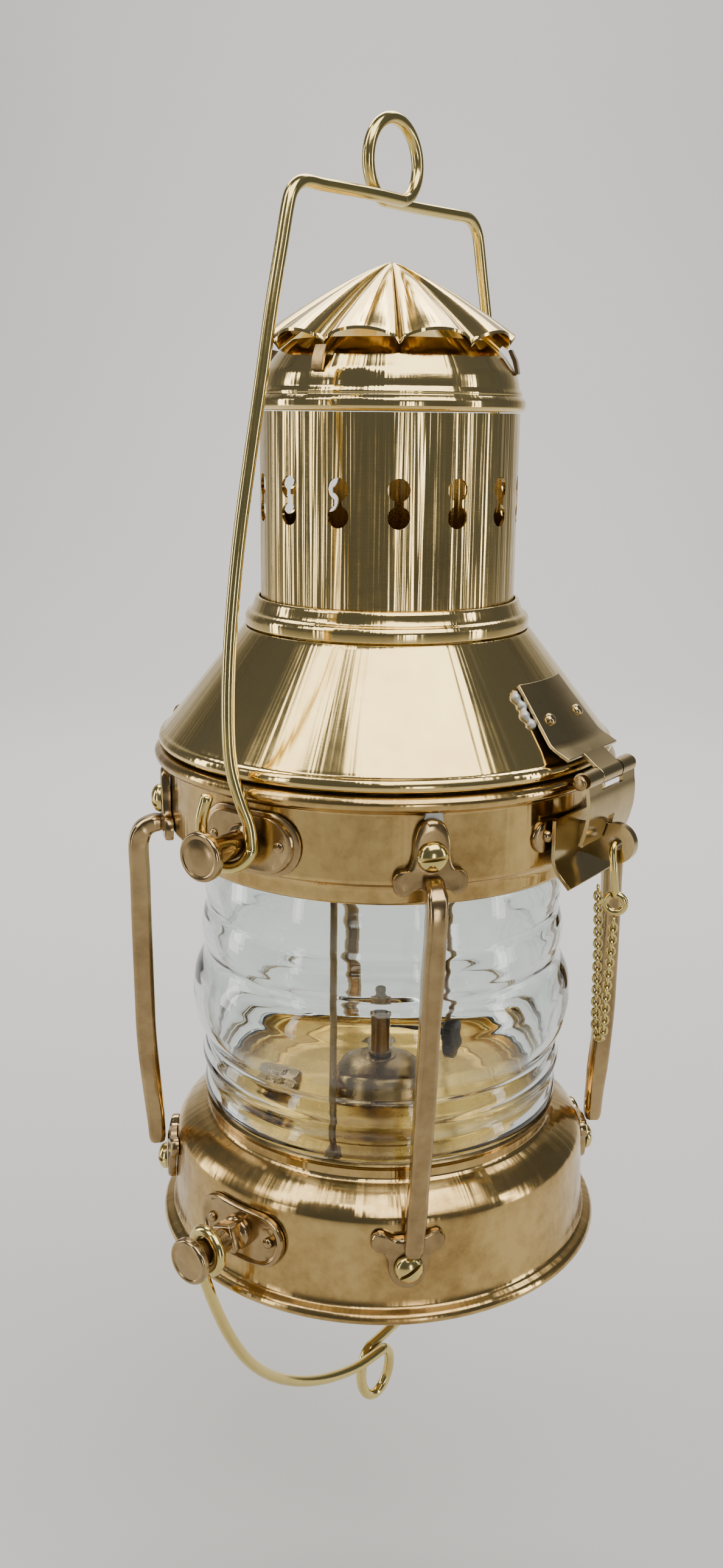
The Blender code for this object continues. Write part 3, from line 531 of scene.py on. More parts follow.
def make_stage():
    make_camera()
    make_backdrop()
    world = bpy.data.worlds.new("studio")
    world.use_nodes = True
    back = world.node_tree.nodes["Background"]
    back.inputs[0].default_value = (0.11, 0.12, 0.14, 1.0)
    back.inputs[1].default_value = 1.0
    bpy.context.scene.world = world
    soft_box("box_over", 28.0, 58.0, 1.0, (0.95, 0.75), 4.6)
    soft_box("box_over_left", -66.0, 52.0, 1.1, (0.35, 0.8), 4.5)
    soft_box("strip_right_near", 18.0, -2.0, 1.15, (0.16, 0.5), 6.0)
    soft_box("strip_right", 76.0, 6.0, 1.1, (0.14, 1.0), 7.0)
    soft_box("strip_left", -52.0, 2.0, 1.1, (0.10, 0.9), 6.0)
    soft_box("strip_left_far", -100.0, 4.0, 1.1, (0.20, 1.0), 6.0)
    behind = math.radians(CAMERA_BEARING + 180.0)
    wall = Vector((math.cos(behind), math.sin(behind), 0.0)) * 2.0
    soft_box("wall_wash", 180.0, 62.0, 1.5, (1.6, 0.8), 11.0, aim=wall + Vector((0, 0, 0.1)))
    soft_box("floor_wash", 180.0, 48.0, 1.3, (1.4, 0.7), 5.0, aim=wall * 0.45 + Vector((0, 0, -0.4)))


make_stage()


# --------------------------------------------------------------------------- base

def make_base():
    wall = [(54.1, 0.0, 0.4), (58.3, 0.0, 0.8), (59.5, 1.1, 1.0), (58.9, 2.7, 0.8), (56.6, 3.6, 0.7),
            (56.1, 5.4, 0.8), (55.2, 24.2, 1.2), (54.8, 26.2, 1.2), (53.2, 28.2, 1.6), (49.6, 30.8, 2.0),
            (47.2, 31.9, 0.5), (46.6, 32.6, 0.3), (46.6, 34.9, 0.4), (47.4, 36.2, 0.3),
            (45.7, 36.2, 0.2), (45.6, 31.9, 0.5), (52.8, 26.3, 1.0), (54.0, 24.4, 0.8), (55.0, 4.1, 0.6)]
    lathe("base_wall", wall, "wall", ["base_shell"], steps=6)
    plate = [(0, 0.0), (36.0, 0.0, 0.3), (37.0, 0.5, 0.3), (50.0, 0.5, 0.3), (51.0, 0.0, 0.3),
             (53.6, 0.0), (53.6, 1.2), (0, 1.2)]
    lathe("base_bottom", plate, "dark", ["base_plate"], slot="dark_brass", closed=False)
    font = [(0, 4.0), (36.5, 4.0, 0.8), (38.0, 5.5, 0.6), (38.0, 27.5, 1.2), (36.0, 29.8, 0.8),
            (3.2, 31.3, 0.2), (3.2, 30.6, 0.2), (35.6, 29.0, 0.8), (37.2, 27.2, 0.6), (37.2, 5.9, 0.5),
            (36.2, 4.8), (0, 4.8)]
    lathe("oil_tin", font, "dark", ["oil_font"], slot="dark_brass", segments=96, closed=False)
    tray = [(0, 32.0), (44.3, 32.0, 0.5), (45.3, 32.7, 0.3), (45.3, 35.6, 0.25), (44.7, 35.6, 0.25),
            (44.6, 33.7, 0.6), (43.4, 32.9, 0.4), (34.0, 33.0, 1.0), (32.8, 33.5, 0.5), (31.6, 33.0, 1.0),
            (18.0, 32.9), (0, 32.9)]
    lathe("tray_dish", tray, "tray", ["burner_tray"], closed=False)


def make_burner():
    z = 33.2
    body = [(0, z), (13.2, z, 0.3), (13.2, z + 1.4, 0.4), (12.7, z + 1.8, 0.2), (12.6, 36.8, 0.6),
            (11.4, 39.3, 1.6), (8.6, 41.4, 1.8), (5.4, 42.1, 0.8), (4.4, 42.1, 0.3), (4.2, 42.5, 0.1),
            (0, 42.5)]
    lathe("burner_dome", body, "dark", ["burner_body"], segments=96, closed=False)
    holder = [(1.9, 42.8), (3.1, 42.8, 0.1), (3.1, 43.8, 0.2), (2.6, 44.0, 0.1), (2.6, 57.6, 0.1),
              (2.85, 57.9, 0.1), (2.85, 59.1, 0.2), (2.5, 59.6, 0.1), (1.9, 59.6)]
    lathe("wick_holder", holder, "dark", ["wick_tube"], slot="dark_brass", segments=48, corner=0.1)
    cap = [(0, 0), (6.6, 0, 0.2), (6.6, 3.2, 0.5), (5.9, 4.2, 0.4), (3.0, 4.4, 0.3), (2.6, 5.0, 0.3),
           (0, 5.0)]
    lathe("filler_lid", cap, "cast", ["filler_cap"], segments=64, closed=False,
          matrix=Matrix.Translation((-18.0, 22.0, z)))
    bm = bmesh.new()
    strands = [(0, 43.2), (1.5, 43.2), (1.55, 60.8, 0.4), (0.9, 61.4, 0.3), (0, 61.5)]
    add_lathe(bm, fillet(strands, 0.2, 4, False), 40, closed=False)
    for vert in bm.verts:
        spin = math.atan2(vert.co.y, vert.co.x)
        swell = 1.0 + 0.05 * math.sin(spin * 9 + vert.co.z * 3.1)
        vert.co.x *= swell
        vert.co.y *= swell
    finish_piece("wick_strands", bm, "cotton", ["wick"], "wick", "wick_cotton")
    lay = Matrix.Translation((0, 0, 50.6)) @ turn(KNOB_TURN) @ TO_X
    bm = bmesh.new()
    shaft = [(0, 3.1), (0.9, 3.1), (0.9, 18.4), (1.6, 18.5), (1.6, 18.8), (4.1, 18.8, 0.3), (4.6, 19.3, 0.3),
             (4.6, 21.5, 0.3), (4.1, 22.1, 0.3), (1.7, 22.1, 0.3), (1.4, 22.4, 0.2), (0, 22.4)]
    add_lathe(bm, fillet(shaft, 0.12, 3, False), 96, closed=False)
    for vert in bm.verts:
        rim = math.hypot(vert.co.x, vert.co.y)
        if rim > 4.3:
            milled = 1.0 + 0.05 * (1 if math.cos(math.atan2(vert.co.y, vert.co.x) * 24) > 0 else 0)
            vert.co.x *= milled
            vert.co.y *= milled
    bmesh.ops.transform(bm, matrix=lay, verts=bm.verts)
    finish_piece("knob_shaft", bm, "steel", ["wick_knob"], "wick_knob", "burner_steel")


def make_lens():
    outer = [(46.6, 36.6, 0.5), (47.4, 38.2, 0.9), (47.4, 40.2, 0.9), (46.3, 42.6, 1.2), (46.6, 44.6, 1.0),
             (48.2, 47.6, 1.8), (47.5, 50.6, 1.4), (46.5, 52.6, 1.2), (47.4, 54.6, 1.2), (49.5, 58.6, 3.0),
             (50.4, 65.0, 4.5), (49.5, 71.4, 3.0), (47.0, 75.6, 1.2), (46.5, 77.4, 1.2), (47.2, 79.4, 1.4),
             (47.7, 83.2, 2.6), (47.0, 87.0, 1.6), (46.0, 89.4, 1.2), (46.3, 91.6, 1.2), (46.9, 95.6, 2.6),
             (46.2, 100.4, 1.6), (45.5, 102.8, 1.0), (45.7, 108.0, 0.4)]
    wall = 2.7
    inner = [(radius - wall, min(max(height, 36.6), 108.0), bend) for radius, height, bend in reversed(outer)]
    lathe("lens_ribs", outer + inner, "glass", ["lens"], slot="lens_glass", segments=256, steps=8)


def make_rods():
    for name, node, degrees in (("rod_front", "tie_rod_front", -162.0), ("rod_rear", "tie_rod_rear", 4.0)):
        rod = [(0, 33.2), (2.0, 33.2, 0.2), (2.0, 35.0, 0.3), (1.1, 35.2, 0.1), (0.85, 35.8, 0.1),
               (0.85, 125.6, 0.1), (1.1, 126.0, 0.1), (2.0, 126.0, 0.2), (2.0, 128.0, 0.2), (0, 128.0)]
        lathe(name, rod, "dark", [node], slot="dark_brass", segments=32, closed=False,
              matrix=turn(degrees) @ Matrix.Translation((40.6, 0, 0)))


def make_band():
    profile = [(46.4, 104.6, 0.2), (51.4, 104.6, 1.0), (52.4, 105.4, 0.6), (52.6, 108.6, 0.6),
               (53.4, 110.0, 0.5), (54.6, 110.4, 0.5), (55.0, 111.2, 0.4), (55.0, 127.0, 0.6),
               (55.7, 127.6, 0.5), (57.3, 127.9, 0.5), (58.5, 128.9, 0.8), (58.7, 130.3, 0.8),
               (57.7, 131.5, 0.6), (56.0, 131.7, 0.3), (53.4, 131.7, 0.4), (54.0, 129.4, 0.5),
               (54.1, 111.6, 0.4), (51.6, 109.8, 0.4), (51.5, 105.6, 0.3), (46.4, 105.6, 0.2)]
    lathe("band_wall", profile, "wall", ["hood_band"], steps=5)


# ------------------------------------------------------------------ plates on walls

def smooth_loop(points, steps):
    """Closed smooth outline through the points."""
    pts = [Vector(p) for p in points]
    count = len(pts)
    out = []
    for k in range(count):
        a, b, c, d = (pts[(k + j) % count] for j in (-1, 0, 1, 2))
        for s in range(steps):
            out.append(spline_point(a, b, c, d, s / steps))
    return out


def add_wall_plate(bm, outline, degrees, centre, back, levels, relief=None):
    """Plate lying on a round wall. levels are (share of the outline, height above the back)."""
    middle = Vector(centre)
    rings = []
    for share, height in levels:
        ring = []
        for point in outline:
            spot = middle + (Vector(point) - middle) * share
            radius = back(spot.y) + height
            if relief and height > 0.01:
                radius += relief(spot.x, spot.y, share)
            angle = math.radians(degrees) + spot.x / back(spot.y)
            ring.append(bm.verts.new((radius * math.cos(angle), radius * math.sin(angle), spot.y)))
        rings.append(ring)
    count = len(outline)
    for low, high in zip(rings, rings[1:]):
        bridge(bm, low, high)
    for ring in (rings[0], rings[-1]):
        hub = bm.verts.new(sum((v.co for v in ring), Vector()) / count)
        for k in range(count):
            bm.faces.new((hub, ring[k], ring[(k + 1) % count]))


def bevelled(thick, soft=0.08, rise=0.4):
    """Levels of a plate with rounded edges."""
    return [(1.0, 0.0), (1.0, thick - rise), (1.0 - soft * 0.3, thick - rise * 0.3), (1.0 - soft, thick),
            (0.78, thick), (0.55, thick), (0.3, thick), (0.1, thick)]


def band_back(_height):
    return 55.3


def base_back(height):
    return 56.1 - 0.9 * (min(max(height, 5.4), 24.2) - 5.4) / 18.8 + 0.3


def mirrored(half):
    """Whole outline from its right half, which starts and ends on the middle line."""
    return half + [(-x, z) for x, z in reversed(half[1:-1])]


UPPER_SHIELD = mirrored([(0.0, 126.3), (2.6, 125.2), (3.9, 121.8), (4.2, 117.6), (5.2, 114.9), (7.4, 114.2),
                         (8.5, 112.0), (7.9, 109.4), (5.8, 108.5), (3.6, 109.9), (0.0, 110.4)])
LOWER_SHIELD = mirrored([(0.0, 9.6), (2.9, 10.9), (4.5, 13.8), (4.9, 17.4), (6.2, 19.2), (8.2, 19.9),
                         (8.9, 21.9), (7.9, 23.8), (5.9, 24.0), (3.4, 22.8), (0.0, 23.0)])
BASE_TURN = -3.5                 # twist of the base fittings against the band, degrees
LOWER_PEG = 16.5
LOWER_OUT = 56.1 + 0.3 + 1.7
UPPER_OUT = 57.0
SIDES = {"front": -135.0, "right": -45.0, "rear": 45.0, "left": 135.0}


def add_screw(bm, radius, height, degrees, slot):
    """Domed screw head with a sawn slot, built as a fine disc pressed down along the slot."""
    size = 3.5
    lay = (turn(degrees) @ Matrix.Translation((radius, 0, height)) @ TO_X
           @ Matrix.Rotation(math.radians(slot), 4, "Z"))
    cuts = [-1.0, -0.93, -0.8, -0.6, -0.4, -0.22, -0.155, -0.135, -0.12, 0.0]
    cuts = cuts + [-c for c in reversed(cuts[:-1])]
    start = len(bm.verts)
    grid = []
    for across in cuts:
        column = []
        chord = math.sqrt(max(1.0 - across ** 2, 0.0))
        for k in range(21):
            along = (2 * k / 20 - 1.0) * chord
            r = min(math.hypot(across, along), 1.0)
            z = 0.5 + 1.9 * math.sqrt(max(1.0 - r ** 2, 0.0)) ** 1.15
            if abs(across) < 0.13 and z > 1.1:
                z = 1.1
            column.append(bm.verts.new((across * size, along * size, z)))
        grid.append(column)
    for left, right in zip(grid, grid[1:]):
        for k in range(20):
            bm.faces.new((left[k], right[k], right[k + 1], left[k + 1]))
    rim = [bm.verts.new((x, y, 0.55)) for x, y in circle(size, 48)]
    foot = [bm.verts.new((x, y, 0.0)) for x, y in circle(size * 1.02, 48)]
    bridge(bm, foot, rim)
    bm.faces.new(foot[::-1])
    bm.verts.ensure_lookup_table()
    bmesh.ops.transform(bm, matrix=lay, verts=bm.verts[start:])


def add_arm(bm, degrees):
    """C-shaped cast bar with filed bevels; it leans with the twist of the base."""
    line = [(57.3, 111.4, 2.0), (58.6, 111.6, 2.1), (60.0, 111.3, 2.2), (61.6, 110.4, 2.4),
            (62.7, 108.8, 2.55), (63.3, 106.4, 2.6), (63.35, 103.0, 2.6), (63.2, 98.0, 2.6),
            (63.2, 88.0, 2.6), (63.1, 75.0, 2.6), (63.0, 64.0, 2.6), (62.9, 55.0, 2.6), (62.5, 47.0, 2.6),
            (61.9, 39.0, 2.55), (61.3, 32.0, 2.45), (60.9, 26.0, 2.3), (60.7, 20.9, 2.2)]
    path = catmull(line, 5)
    rings = []
    for k, spot in enumerate(path):
        before = path[max(k - 1, 0)]
        after = path[min(k + 1, len(path) - 1)]
        way = Vector((after.x - before.x, after.y - before.y)).normalized()
        if k == 0:
            way = Vector((1.0, 0.0))
        across = Vector((-way.y, way.x))
        shrink = (0.86, 0.96, 1.0)[min(k, len(path) - 1 - k, 2)]
        w = (2.3 + 0.06 * math.sin(k * 0.61 + degrees)) * shrink
        d = spot.z * shrink
        c = 0.85 + 0.12 * math.sin(k * 0.37 + degrees * 0.3)
        section = [(-w + c, -d), (w - c, -d), (w, -d + c), (w, d - c), (w - c, d), (-w + c, d), (-w, d - c),
                   (-w, -d + c)]
        lean = turn(degrees + BASE_TURN * (111.4 - spot.y) / 111.4)
        ring = []
        for wide, deep in fillet(section, 0.3, 2):
            place = Vector((spot.x, spot.y)) + across * deep
            ring.append(bm.verts.new(lean @ Vector((place.x, wide, place.y))))
        rings.append(ring)
    for low, high in zip(rings, rings[1:]):
        bridge(bm, low, high)
    cap_ends(bm, rings)


def upper_relief(s, z, share):
    """Sunk flank below the screw and a raised lip along the lobes."""
    dip = 0.35 * math.exp(-((abs(s) - 5.6) ** 2 + (z - 111.4) ** 2) / 5.0)
    return 0.25 * math.exp(-(s * s + (z - 112.4) ** 2) / 9.0) - dip * 0.8


def lower_relief(s, z, share):
    hump = 0.3 * math.exp(-(s * s + (z - 21.0) ** 2) / 7.0)
    return hump - 0.35 * math.exp(-((abs(s) - 6.2) ** 2 + (z - 21.6) ** 2) / 5.0)


def make_guard():
    slots = {"front": 96.0, "right": 20.0, "rear": 140.0, "left": 65.0}
    for side, degrees in SIDES.items():
        low_turn = degrees + BASE_TURN
        built("shield_upper_" + side, "cast", "bracket_upper_" + side, add_wall_plate,
              smooth_loop(UPPER_SHIELD, 6), degrees, (0.0, 114.5), band_back, bevelled(2.2, 0.15, 0.9),
              upper_relief)
        built("shield_lower_" + side, "cast", "bracket_lower_" + side, add_wall_plate,
              smooth_loop(LOWER_SHIELD, 6), low_turn, (0.0, 18.6), base_back, bevelled(2.2, 0.15, 0.9),
              lower_relief)
        built("head_upper_" + side, "wire", "screw_upper_" + side, add_screw,
              UPPER_OUT + 0.5, 118.0, degrees, slots[side] - 90.0, sharp=35.0)
        built("head_lower_" + side, "wire", "screw_lower_" + side, add_screw,
              LOWER_OUT + 0.3, 15.6, low_turn, slots[side] - 60.0, sharp=35.0)
        built("bar_" + side, "cast", "guard_arm_" + side, add_arm, degrees)
        bm = bmesh.new()
        tab = [(-1.9, 124.0), (1.9, 124.0), (2.0, 127.4), (1.4, 128.2), (-1.2, 128.3), (-2.0, 127.2)]
        add_wall_plate(bm, smooth_loop(tab, 3), degrees + 0.6, (0.0, 126.4), lambda _z: 55.0,
                       bevelled(0.6, 0.2, 0.25))
        finish_piece("solder_patch_" + side, bm, "solder")


def stadium(half_length, half_height, centre, steps=14):
    flat = half_length - half_height
    right = arc((flat, centre), half_height, -90.0, 90.0, steps)
    left = arc((-flat, centre), half_height, 90.0, 270.0, steps)
    middle_top = [(flat * (1 - 2 * k / 6), centre + half_height) for k in range(1, 6)]
    middle_low = [(-flat * (1 - 2 * k / 6), centre - half_height) for k in range(1, 6)]
    return right + middle_top + left + middle_low


def add_rivet(bm, lay, radius, height):
    add_lathe(bm, fillet([(0, -0.3), (radius, -0.3), (radius, height * 0.35, height * 0.3),
                          (radius * 0.6, height * 0.85, height * 0.3), (0, height)], 0.1, 4, False),
              32, closed=False, matrix=lay)


def outward(degrees, radius, height, along=0.0):
    return (turn(degrees + math.degrees(along / radius)) @ Matrix.Translation((radius, 0, height))
            @ TO_X)


def add_peg(bm, degrees, height, root, start):
    """Stepped peg: square boss, tapered shaft and a flat head with a turned rim."""
    lay = turn(degrees) @ Matrix.Translation((0, 0, height)) @ TO_X
    shape = [(0, root), (4.4, root, 0.2), (4.2, root + 1.6, 0.4), (3.0, root + 2.6, 0.5),
             (3.0, start - 1.2, 0.6), (4.0, start - 0.1, 0.4), (5.3, start, 0.3), (5.7, start + 0.4, 0.3),
             (5.7, start + 1.9, 0.35), (5.2, start + 2.4, 0.3), (4.7, start + 2.35, 0.3),
             (4.3, start + 2.1, 0.5), (2.4, start + 2.45, 1.0), (0, start + 2.5)]
    add_lathe(bm, fillet(shape, 0.2, 5, False), 96, closed=False, matrix=lay)


# levels of the oval plates, as (share of the outline, height)
UPPER_OVAL = [(1.0, 0.0), (1.0, 0.5), (0.985, 0.62), (0.96, 0.66), (0.90, 0.70), (0.885, 1.25), (0.87, 1.6),
              (0.84, 1.7), (0.80, 1.65), (0.5, 1.6), (0.2, 1.6)]
LOWER_OVAL = [(1.0, 0.0), (1.0, 1.1), (0.98, 1.5), (0.94, 1.6), (0.90, 1.5), (0.87, 1.1), (0.84, 0.8),
              (0.6, 0.75), (0.3, 0.75)]


def make_trunnions():
    for side, degrees in (("left", 180.0), ("right", 0.0)):
        bm = bmesh.new()
        add_wall_plate(bm, stadium(14.2, 7.5, 118.0), degrees, (0.0, 118.0), band_back,
                       UPPER_OVAL)
        add_peg(bm, degrees, 118.0, 56.2, 70.0)
        for along in (-9.6, 9.6):
            add_rivet(bm, outward(degrees, 57.0, 118.0, along), 1.25, 0.55)
        finish_piece("peg_upper_" + side, bm, "cast", ["trunnion_upper_" + side])
        bm = bmesh.new()
        low_turn = degrees + BASE_TURN
        add_wall_plate(bm, stadium(13.6, 6.9, LOWER_PEG), low_turn, (0.0, LOWER_PEG), base_back,
                       LOWER_OVAL)
        add_peg(bm, low_turn, LOWER_PEG, 56.2, 72.0)
        for along in (-9.4, 9.4):
            add_rivet(bm, outward(low_turn, 56.9, LOWER_PEG, along), 1.3, 0.8)
        lug = turn(low_turn) @ Matrix.Translation((59.0, 0, LOWER_PEG))
        lug = lug @ Matrix.Rotation(math.radians(18.0), 4, "X") @ Matrix.Diagonal((6.0, 6.2, 7.0, 1.0))
        made = bmesh.ops.create_cube(bm, size=1.0, matrix=lug)
        edges = list(dict.fromkeys(e for v in made["verts"] for e in v.link_edges))
        bmesh.ops.bevel(bm, geom=edges, offset=0.7, segments=3, affect="EDGES", profile=0.5)
        finish_piece("peg_lower_" + side, bm, "cast", ["trunnion_lower_" + side])


# -------------------------------------------------------------------------- bails

def coil(sign, height, x_start, x_stop, start, stop, steps):
    points = []
    for k in range(steps + 1):
        t = k / steps
        angle = math.radians(start + (stop - start) * t)
        points.append(Vector((sign * (x_start + (x_stop - x_start) * t), 4.85 * math.cos(angle),
                              height + 4.85 * math.sin(angle))))
    return points


def wire_loop(half_width, half_height, middle, start, turned, step, steps):
    """One turn of wire, an oval seen from the front, that moves back by 2 * step as it goes round."""
    points = []
    for k in range(steps + 1):
        angle = math.radians(start + turned * k / steps)
        points.append(Vector((half_width * math.cos(angle), step * (2.0 * k / steps - 1.0),
                              middle + half_height * math.sin(angle))))
    return points


def make_upper_bail():
    z = 118.0
    bar = 260.5
    step = 1.8
    leg = [(59.9, -4.3, z + 5.2), (60.9, -2.6, 129.0), (61.6, -0.6, 137.0), (61.6, 0, 148.0),
           (60.6, 0, 164.0), (57.5, 0, 184.0), (53.4, 0, 202.0), (49.4, 0, 218.0), (45.6, 0, 234.0),
           (42.0, 0, 247.0), (39.9, 0, 254.6), (38.6, 0, 257.6), (36.4, 0, 259.6), (33.4, 0, bar),
           (28.0, 0, bar)]
    halves = []
    for sign in (-1.0, 1.0):
        turns = coil(sign, z, 64.6, 59.8, 355.0, 180.0, 14)
        tail = [Vector((sign * 65.4, 3.0, z + 12.4)), Vector((sign * 65.9, 4.6, z + 6.0))]
        climb = [Vector((sign * x, y, h)) for x, y, h in leg]
        last = [Vector((sign * 22.0, sign * step * 0.4, bar)), Vector((sign * 11.0, sign * step, bar))]
        halves.append(tail + turns + climb + last)
    ring = wire_loop(8.87, 8.87, bar + 8.87, -90.0, 360.0, step, 40)
    path = catmull(halves[0] + ring + halves[1][::-1], 4)
    built("handle_wire", "wire", "upper_bail", add_tube, path, WIRE, 20, body="bail", sharp=60.0)


def make_lower_bail():
    z = LOWER_PEG
    reach = 66.3
    step = 1.8
    halves = []
    for sign in (-1.0, 1.0):
        turns = coil(sign, z, 68.6, reach, 240.0, -20.0, 14)
        hoop = []
        for k in range(1, 10):
            angle = math.radians(90.0 * k / 10)
            y = 4.85 * max(1.0 - k / 2.5, 0.0)
            if k > 6:
                y = sign * step * (k - 6) / 3.0
            hoop.append(Vector((sign * reach * math.cos(angle), y, z - reach * math.sin(angle))))
        halves.append(turns + hoop)
    low = z - reach
    eye = wire_loop(5.4, 7.6, low - 7.6, 90.0, -360.0, step, 36)
    path = catmull([turn(BASE_TURN) @ point for point in halves[0] + eye + halves[1][::-1]], 4)
    built("hoop_wire", "wire", "lower_bail", add_tube, path, WIRE, 20, body="lower_bail", sharp=60.0)


# --------------------------------------------------------------------------- hood

def cone_radius(height):
    share = (height - CONE_LOW[1]) / (CONE_HIGH[1] - CONE_LOW[1])
    return CONE_LOW[0] + (CONE_HIGH[0] - CONE_LOW[0]) * share


def cut_with(obj, cutter):
    """Apply an exact Boolean cut and keep the finished mesh."""
    link = obj.modifiers.new("cut", "BOOLEAN")
    link.operation = "DIFFERENCE"
    link.solver = "EXACT"
    link.use_self = True
    link.object = cutter
    bpy.context.view_layer.update()
    graph = bpy.context.evaluated_depsgraph_get()
    mesh = bpy.data.meshes.new_from_object(obj.evaluated_get(graph))
    obj.modifiers.clear()
    old = obj.data
    obj.data = mesh
    mesh.name = obj.name
    bpy.data.meshes.remove(old)
    bpy.data.objects.remove(cutter, do_unlink=True)
    shade(mesh)


def cutter_from(bm):
    return linked("cutter", mesh_from("cutter", bm))


def add_prism(bm, outline, low, high, matrix, steps=1):
    rings = []
    for step in range(steps + 1):
        level = low + (high - low) * step / steps
        rings.append([bm.verts.new(matrix @ Vector((x, y, level))) for x, y in outline])
    cap_ends(bm, rings)
    for bottom, top in zip(rings, rings[1:]):
        bridge(bm, bottom, top)


def vent_outline():
    """Keyhole pair: two round holes joined by a narrow neck, as (across, up)."""
    radius, spread, neck = 2.6, 3.05, 1.1
    start = math.degrees(math.asin(neck / radius))
    up = [(neck, 0.0)] + [(radius * math.sin(math.radians(a)), spread - radius * math.cos(math.radians(a)))
                          for a in [start] + list(range(40, 181, 10))]
    right = [(x, -y) for x, y in reversed(up[1:])] + up
    return right + [(-x, y) for x, y in reversed(right[1:-1])]


def make_hood():
    cone = [(53.2, 132.0, 0.3), (56.2, 132.0, 0.5), (57.3, 132.6, 0.6), (57.6, 133.9, 0.8),
            (57.0, 135.1, 0.6), (56.0, 135.6, 0.4), (55.5, 136.3, 0.5), (36.2, 160.7, 0.8),
            (35.6, 161.3, 0.2), (34.4, 161.3, 0.2), (54.0, 136.6, 0.5), (53.2, 134.6, 0.4)]
    lathe("hood_slope", cone, "turned", ["hood_cone"], "hood", steps=6)
    neck = [(31.9, 161.6, 0.2), (35.4, 161.6, 0.5), (35.5, 164.0, 0.5), (34.9, 165.0, 0.5),
            (33.9, 165.5, 0.5), (33.4, 166.6, 0.8), (33.0, 168.0, 0.4), (32.6, 168.6, 0.3),
            (31.9, 168.6, 0.2)]
    lathe("neck_moulding", neck, "turned", ["neck_ring"], "hood", steps=6)
    pipe = [(30.8, 162.0), (31.5, 162.0), (31.5, 170.0), (31.5, 212.7), (30.8, 212.7)]
    obj = lathe("chimney_pipe", pipe, "pipe", ["chimney"], "hood", segments=288, corner=0.0)
    bm = bmesh.new()
    facing = Matrix(((0, 0, 1, 0), (1, 0, 0, 0), (0, 1, 0, 192.7), (0, 0, 0, 1)))
    for k in range(14):
        add_prism(bm, vent_outline(), 27.0, 36.0, turn(-141.6 + 360.0 * k / 14) @ facing)
    cut_with(obj, cutter_from(bm))
    dome = [(30.8, 213.0, 0.2), (32.1, 213.0, 0.4), (32.8, 213.8, 0.5), (32.8, 215.4, 0.5),
            (32.1, 216.2, 0.4), (31.7, 216.6, 0.3), (31.9, 217.2, 0.4), (31.2, 218.2, 0.4),
            (31.0, 219.6, 0.6), (30.4, 221.8, 1.0), (29.2, 223.4, 0.8), (27.2, 226.2, 1.4),
            (23.5, 229.2, 0.3), (22.9, 228.6, 0.2), (26.5, 225.4, 0.8), (28.4, 222.8, 0.8),
            (30.2, 219.0, 0.6), (30.8, 216.8, 0.3)]
    lathe("dome_ring", dome, "turned", ["draught_dome"], "hood", steps=5)
    make_cap()
    for k, degrees in enumerate((-178.0, -70.0, 2.0, 110.0)):
        strip = [(30.5, 221.4), (31.3, 221.7), (30.7, 224.6), (29.4, 227.2), (28.6, 226.9), (29.9, 224.4)]
        flip = turn(degrees) @ Matrix(((1, 0, 0, 0), (0, 0, 1, 0), (0, 1, 0, 0), (0, 0, 0, 1)))
        bm = bmesh.new()
        add_prism(bm, strip, -1.5, 1.5, flip)
        bmesh.ops.bevel(bm, geom=bm.edges[:], offset=0.12, segments=2, affect="EDGES")
        finish_piece("leg_strip_%d" % (k + 1), bm, "dark", ["cap_leg_%d" % (k + 1)], "hood", "dark_brass")
    bm = bmesh.new()
    add_rivet(bm, outward(-217.5, 32.75, 214.6), 0.8, 0.9)
    finish_piece("dome_rivet", bm, "dark", body="hood", slot="dark_brass")


def make_cap():
    per_lobe, lobes = 32, 10
    count = per_lobe * lobes
    shares = [0.05, 0.12, 0.2, 0.3, 0.4, 0.5, 0.6, 0.7, 0.8, 0.88, 0.94, 0.98, 1.0]
    bm = bmesh.new()
    skins = []
    for drop in (0.0, 0.7):
        rings = []
        for share in shares:
            ring = []
            for k in range(count):
                u = (k % per_lobe) / per_lobe
                lobe = max(1.0 - (2 * u - 1) ** 2, 0.0) ** 0.62
                edge = 28.2 + 1.6 * lobe
                radius = share * (29.8 + (edge - 29.8) * share)
                angle = math.radians(-142.0) + 2 * math.pi * k / count
                crest = 247.0 - 16.0 * share ** 1.25
                cusp = 247.0 - 19.2 * share ** 1.06
                curl = 0.5 * max(share - 0.9, 0.0) * 10 * lobe * (1 - share) * 4
                height = cusp + (crest - cusp) * lobe - drop - curl
                ring.append(bm.verts.new((radius * math.cos(angle), radius * math.sin(angle), height)))
            rings.append(ring)
        tip = bm.verts.new((0, 0, 247.0 - drop))
        for k in range(count):
            n = (k + 1) % count
            bm.faces.new((tip, rings[0][k], rings[0][n]))
            for low, high in zip(rings, rings[1:]):
                bm.faces.new((low[k], high[k], high[n], low[n]))
        skins.append(rings[-1])
    for k in range(count):
        n = (k + 1) % count
        bm.faces.new((skins[0][k], skins[1][k], skins[1][n], skins[0][n]))
    finish_piece("cap_scallops", bm, "turned", ["cap"], "hood", sharp=50.0)


# ----------------------------------------------------------------- hinge and hasp

SIDE_VIEW = Matrix(((0, 0, 1, 0), (1, 0, 0, 0), (0, 1, 0, 0), (0, 0, 0, 1)))


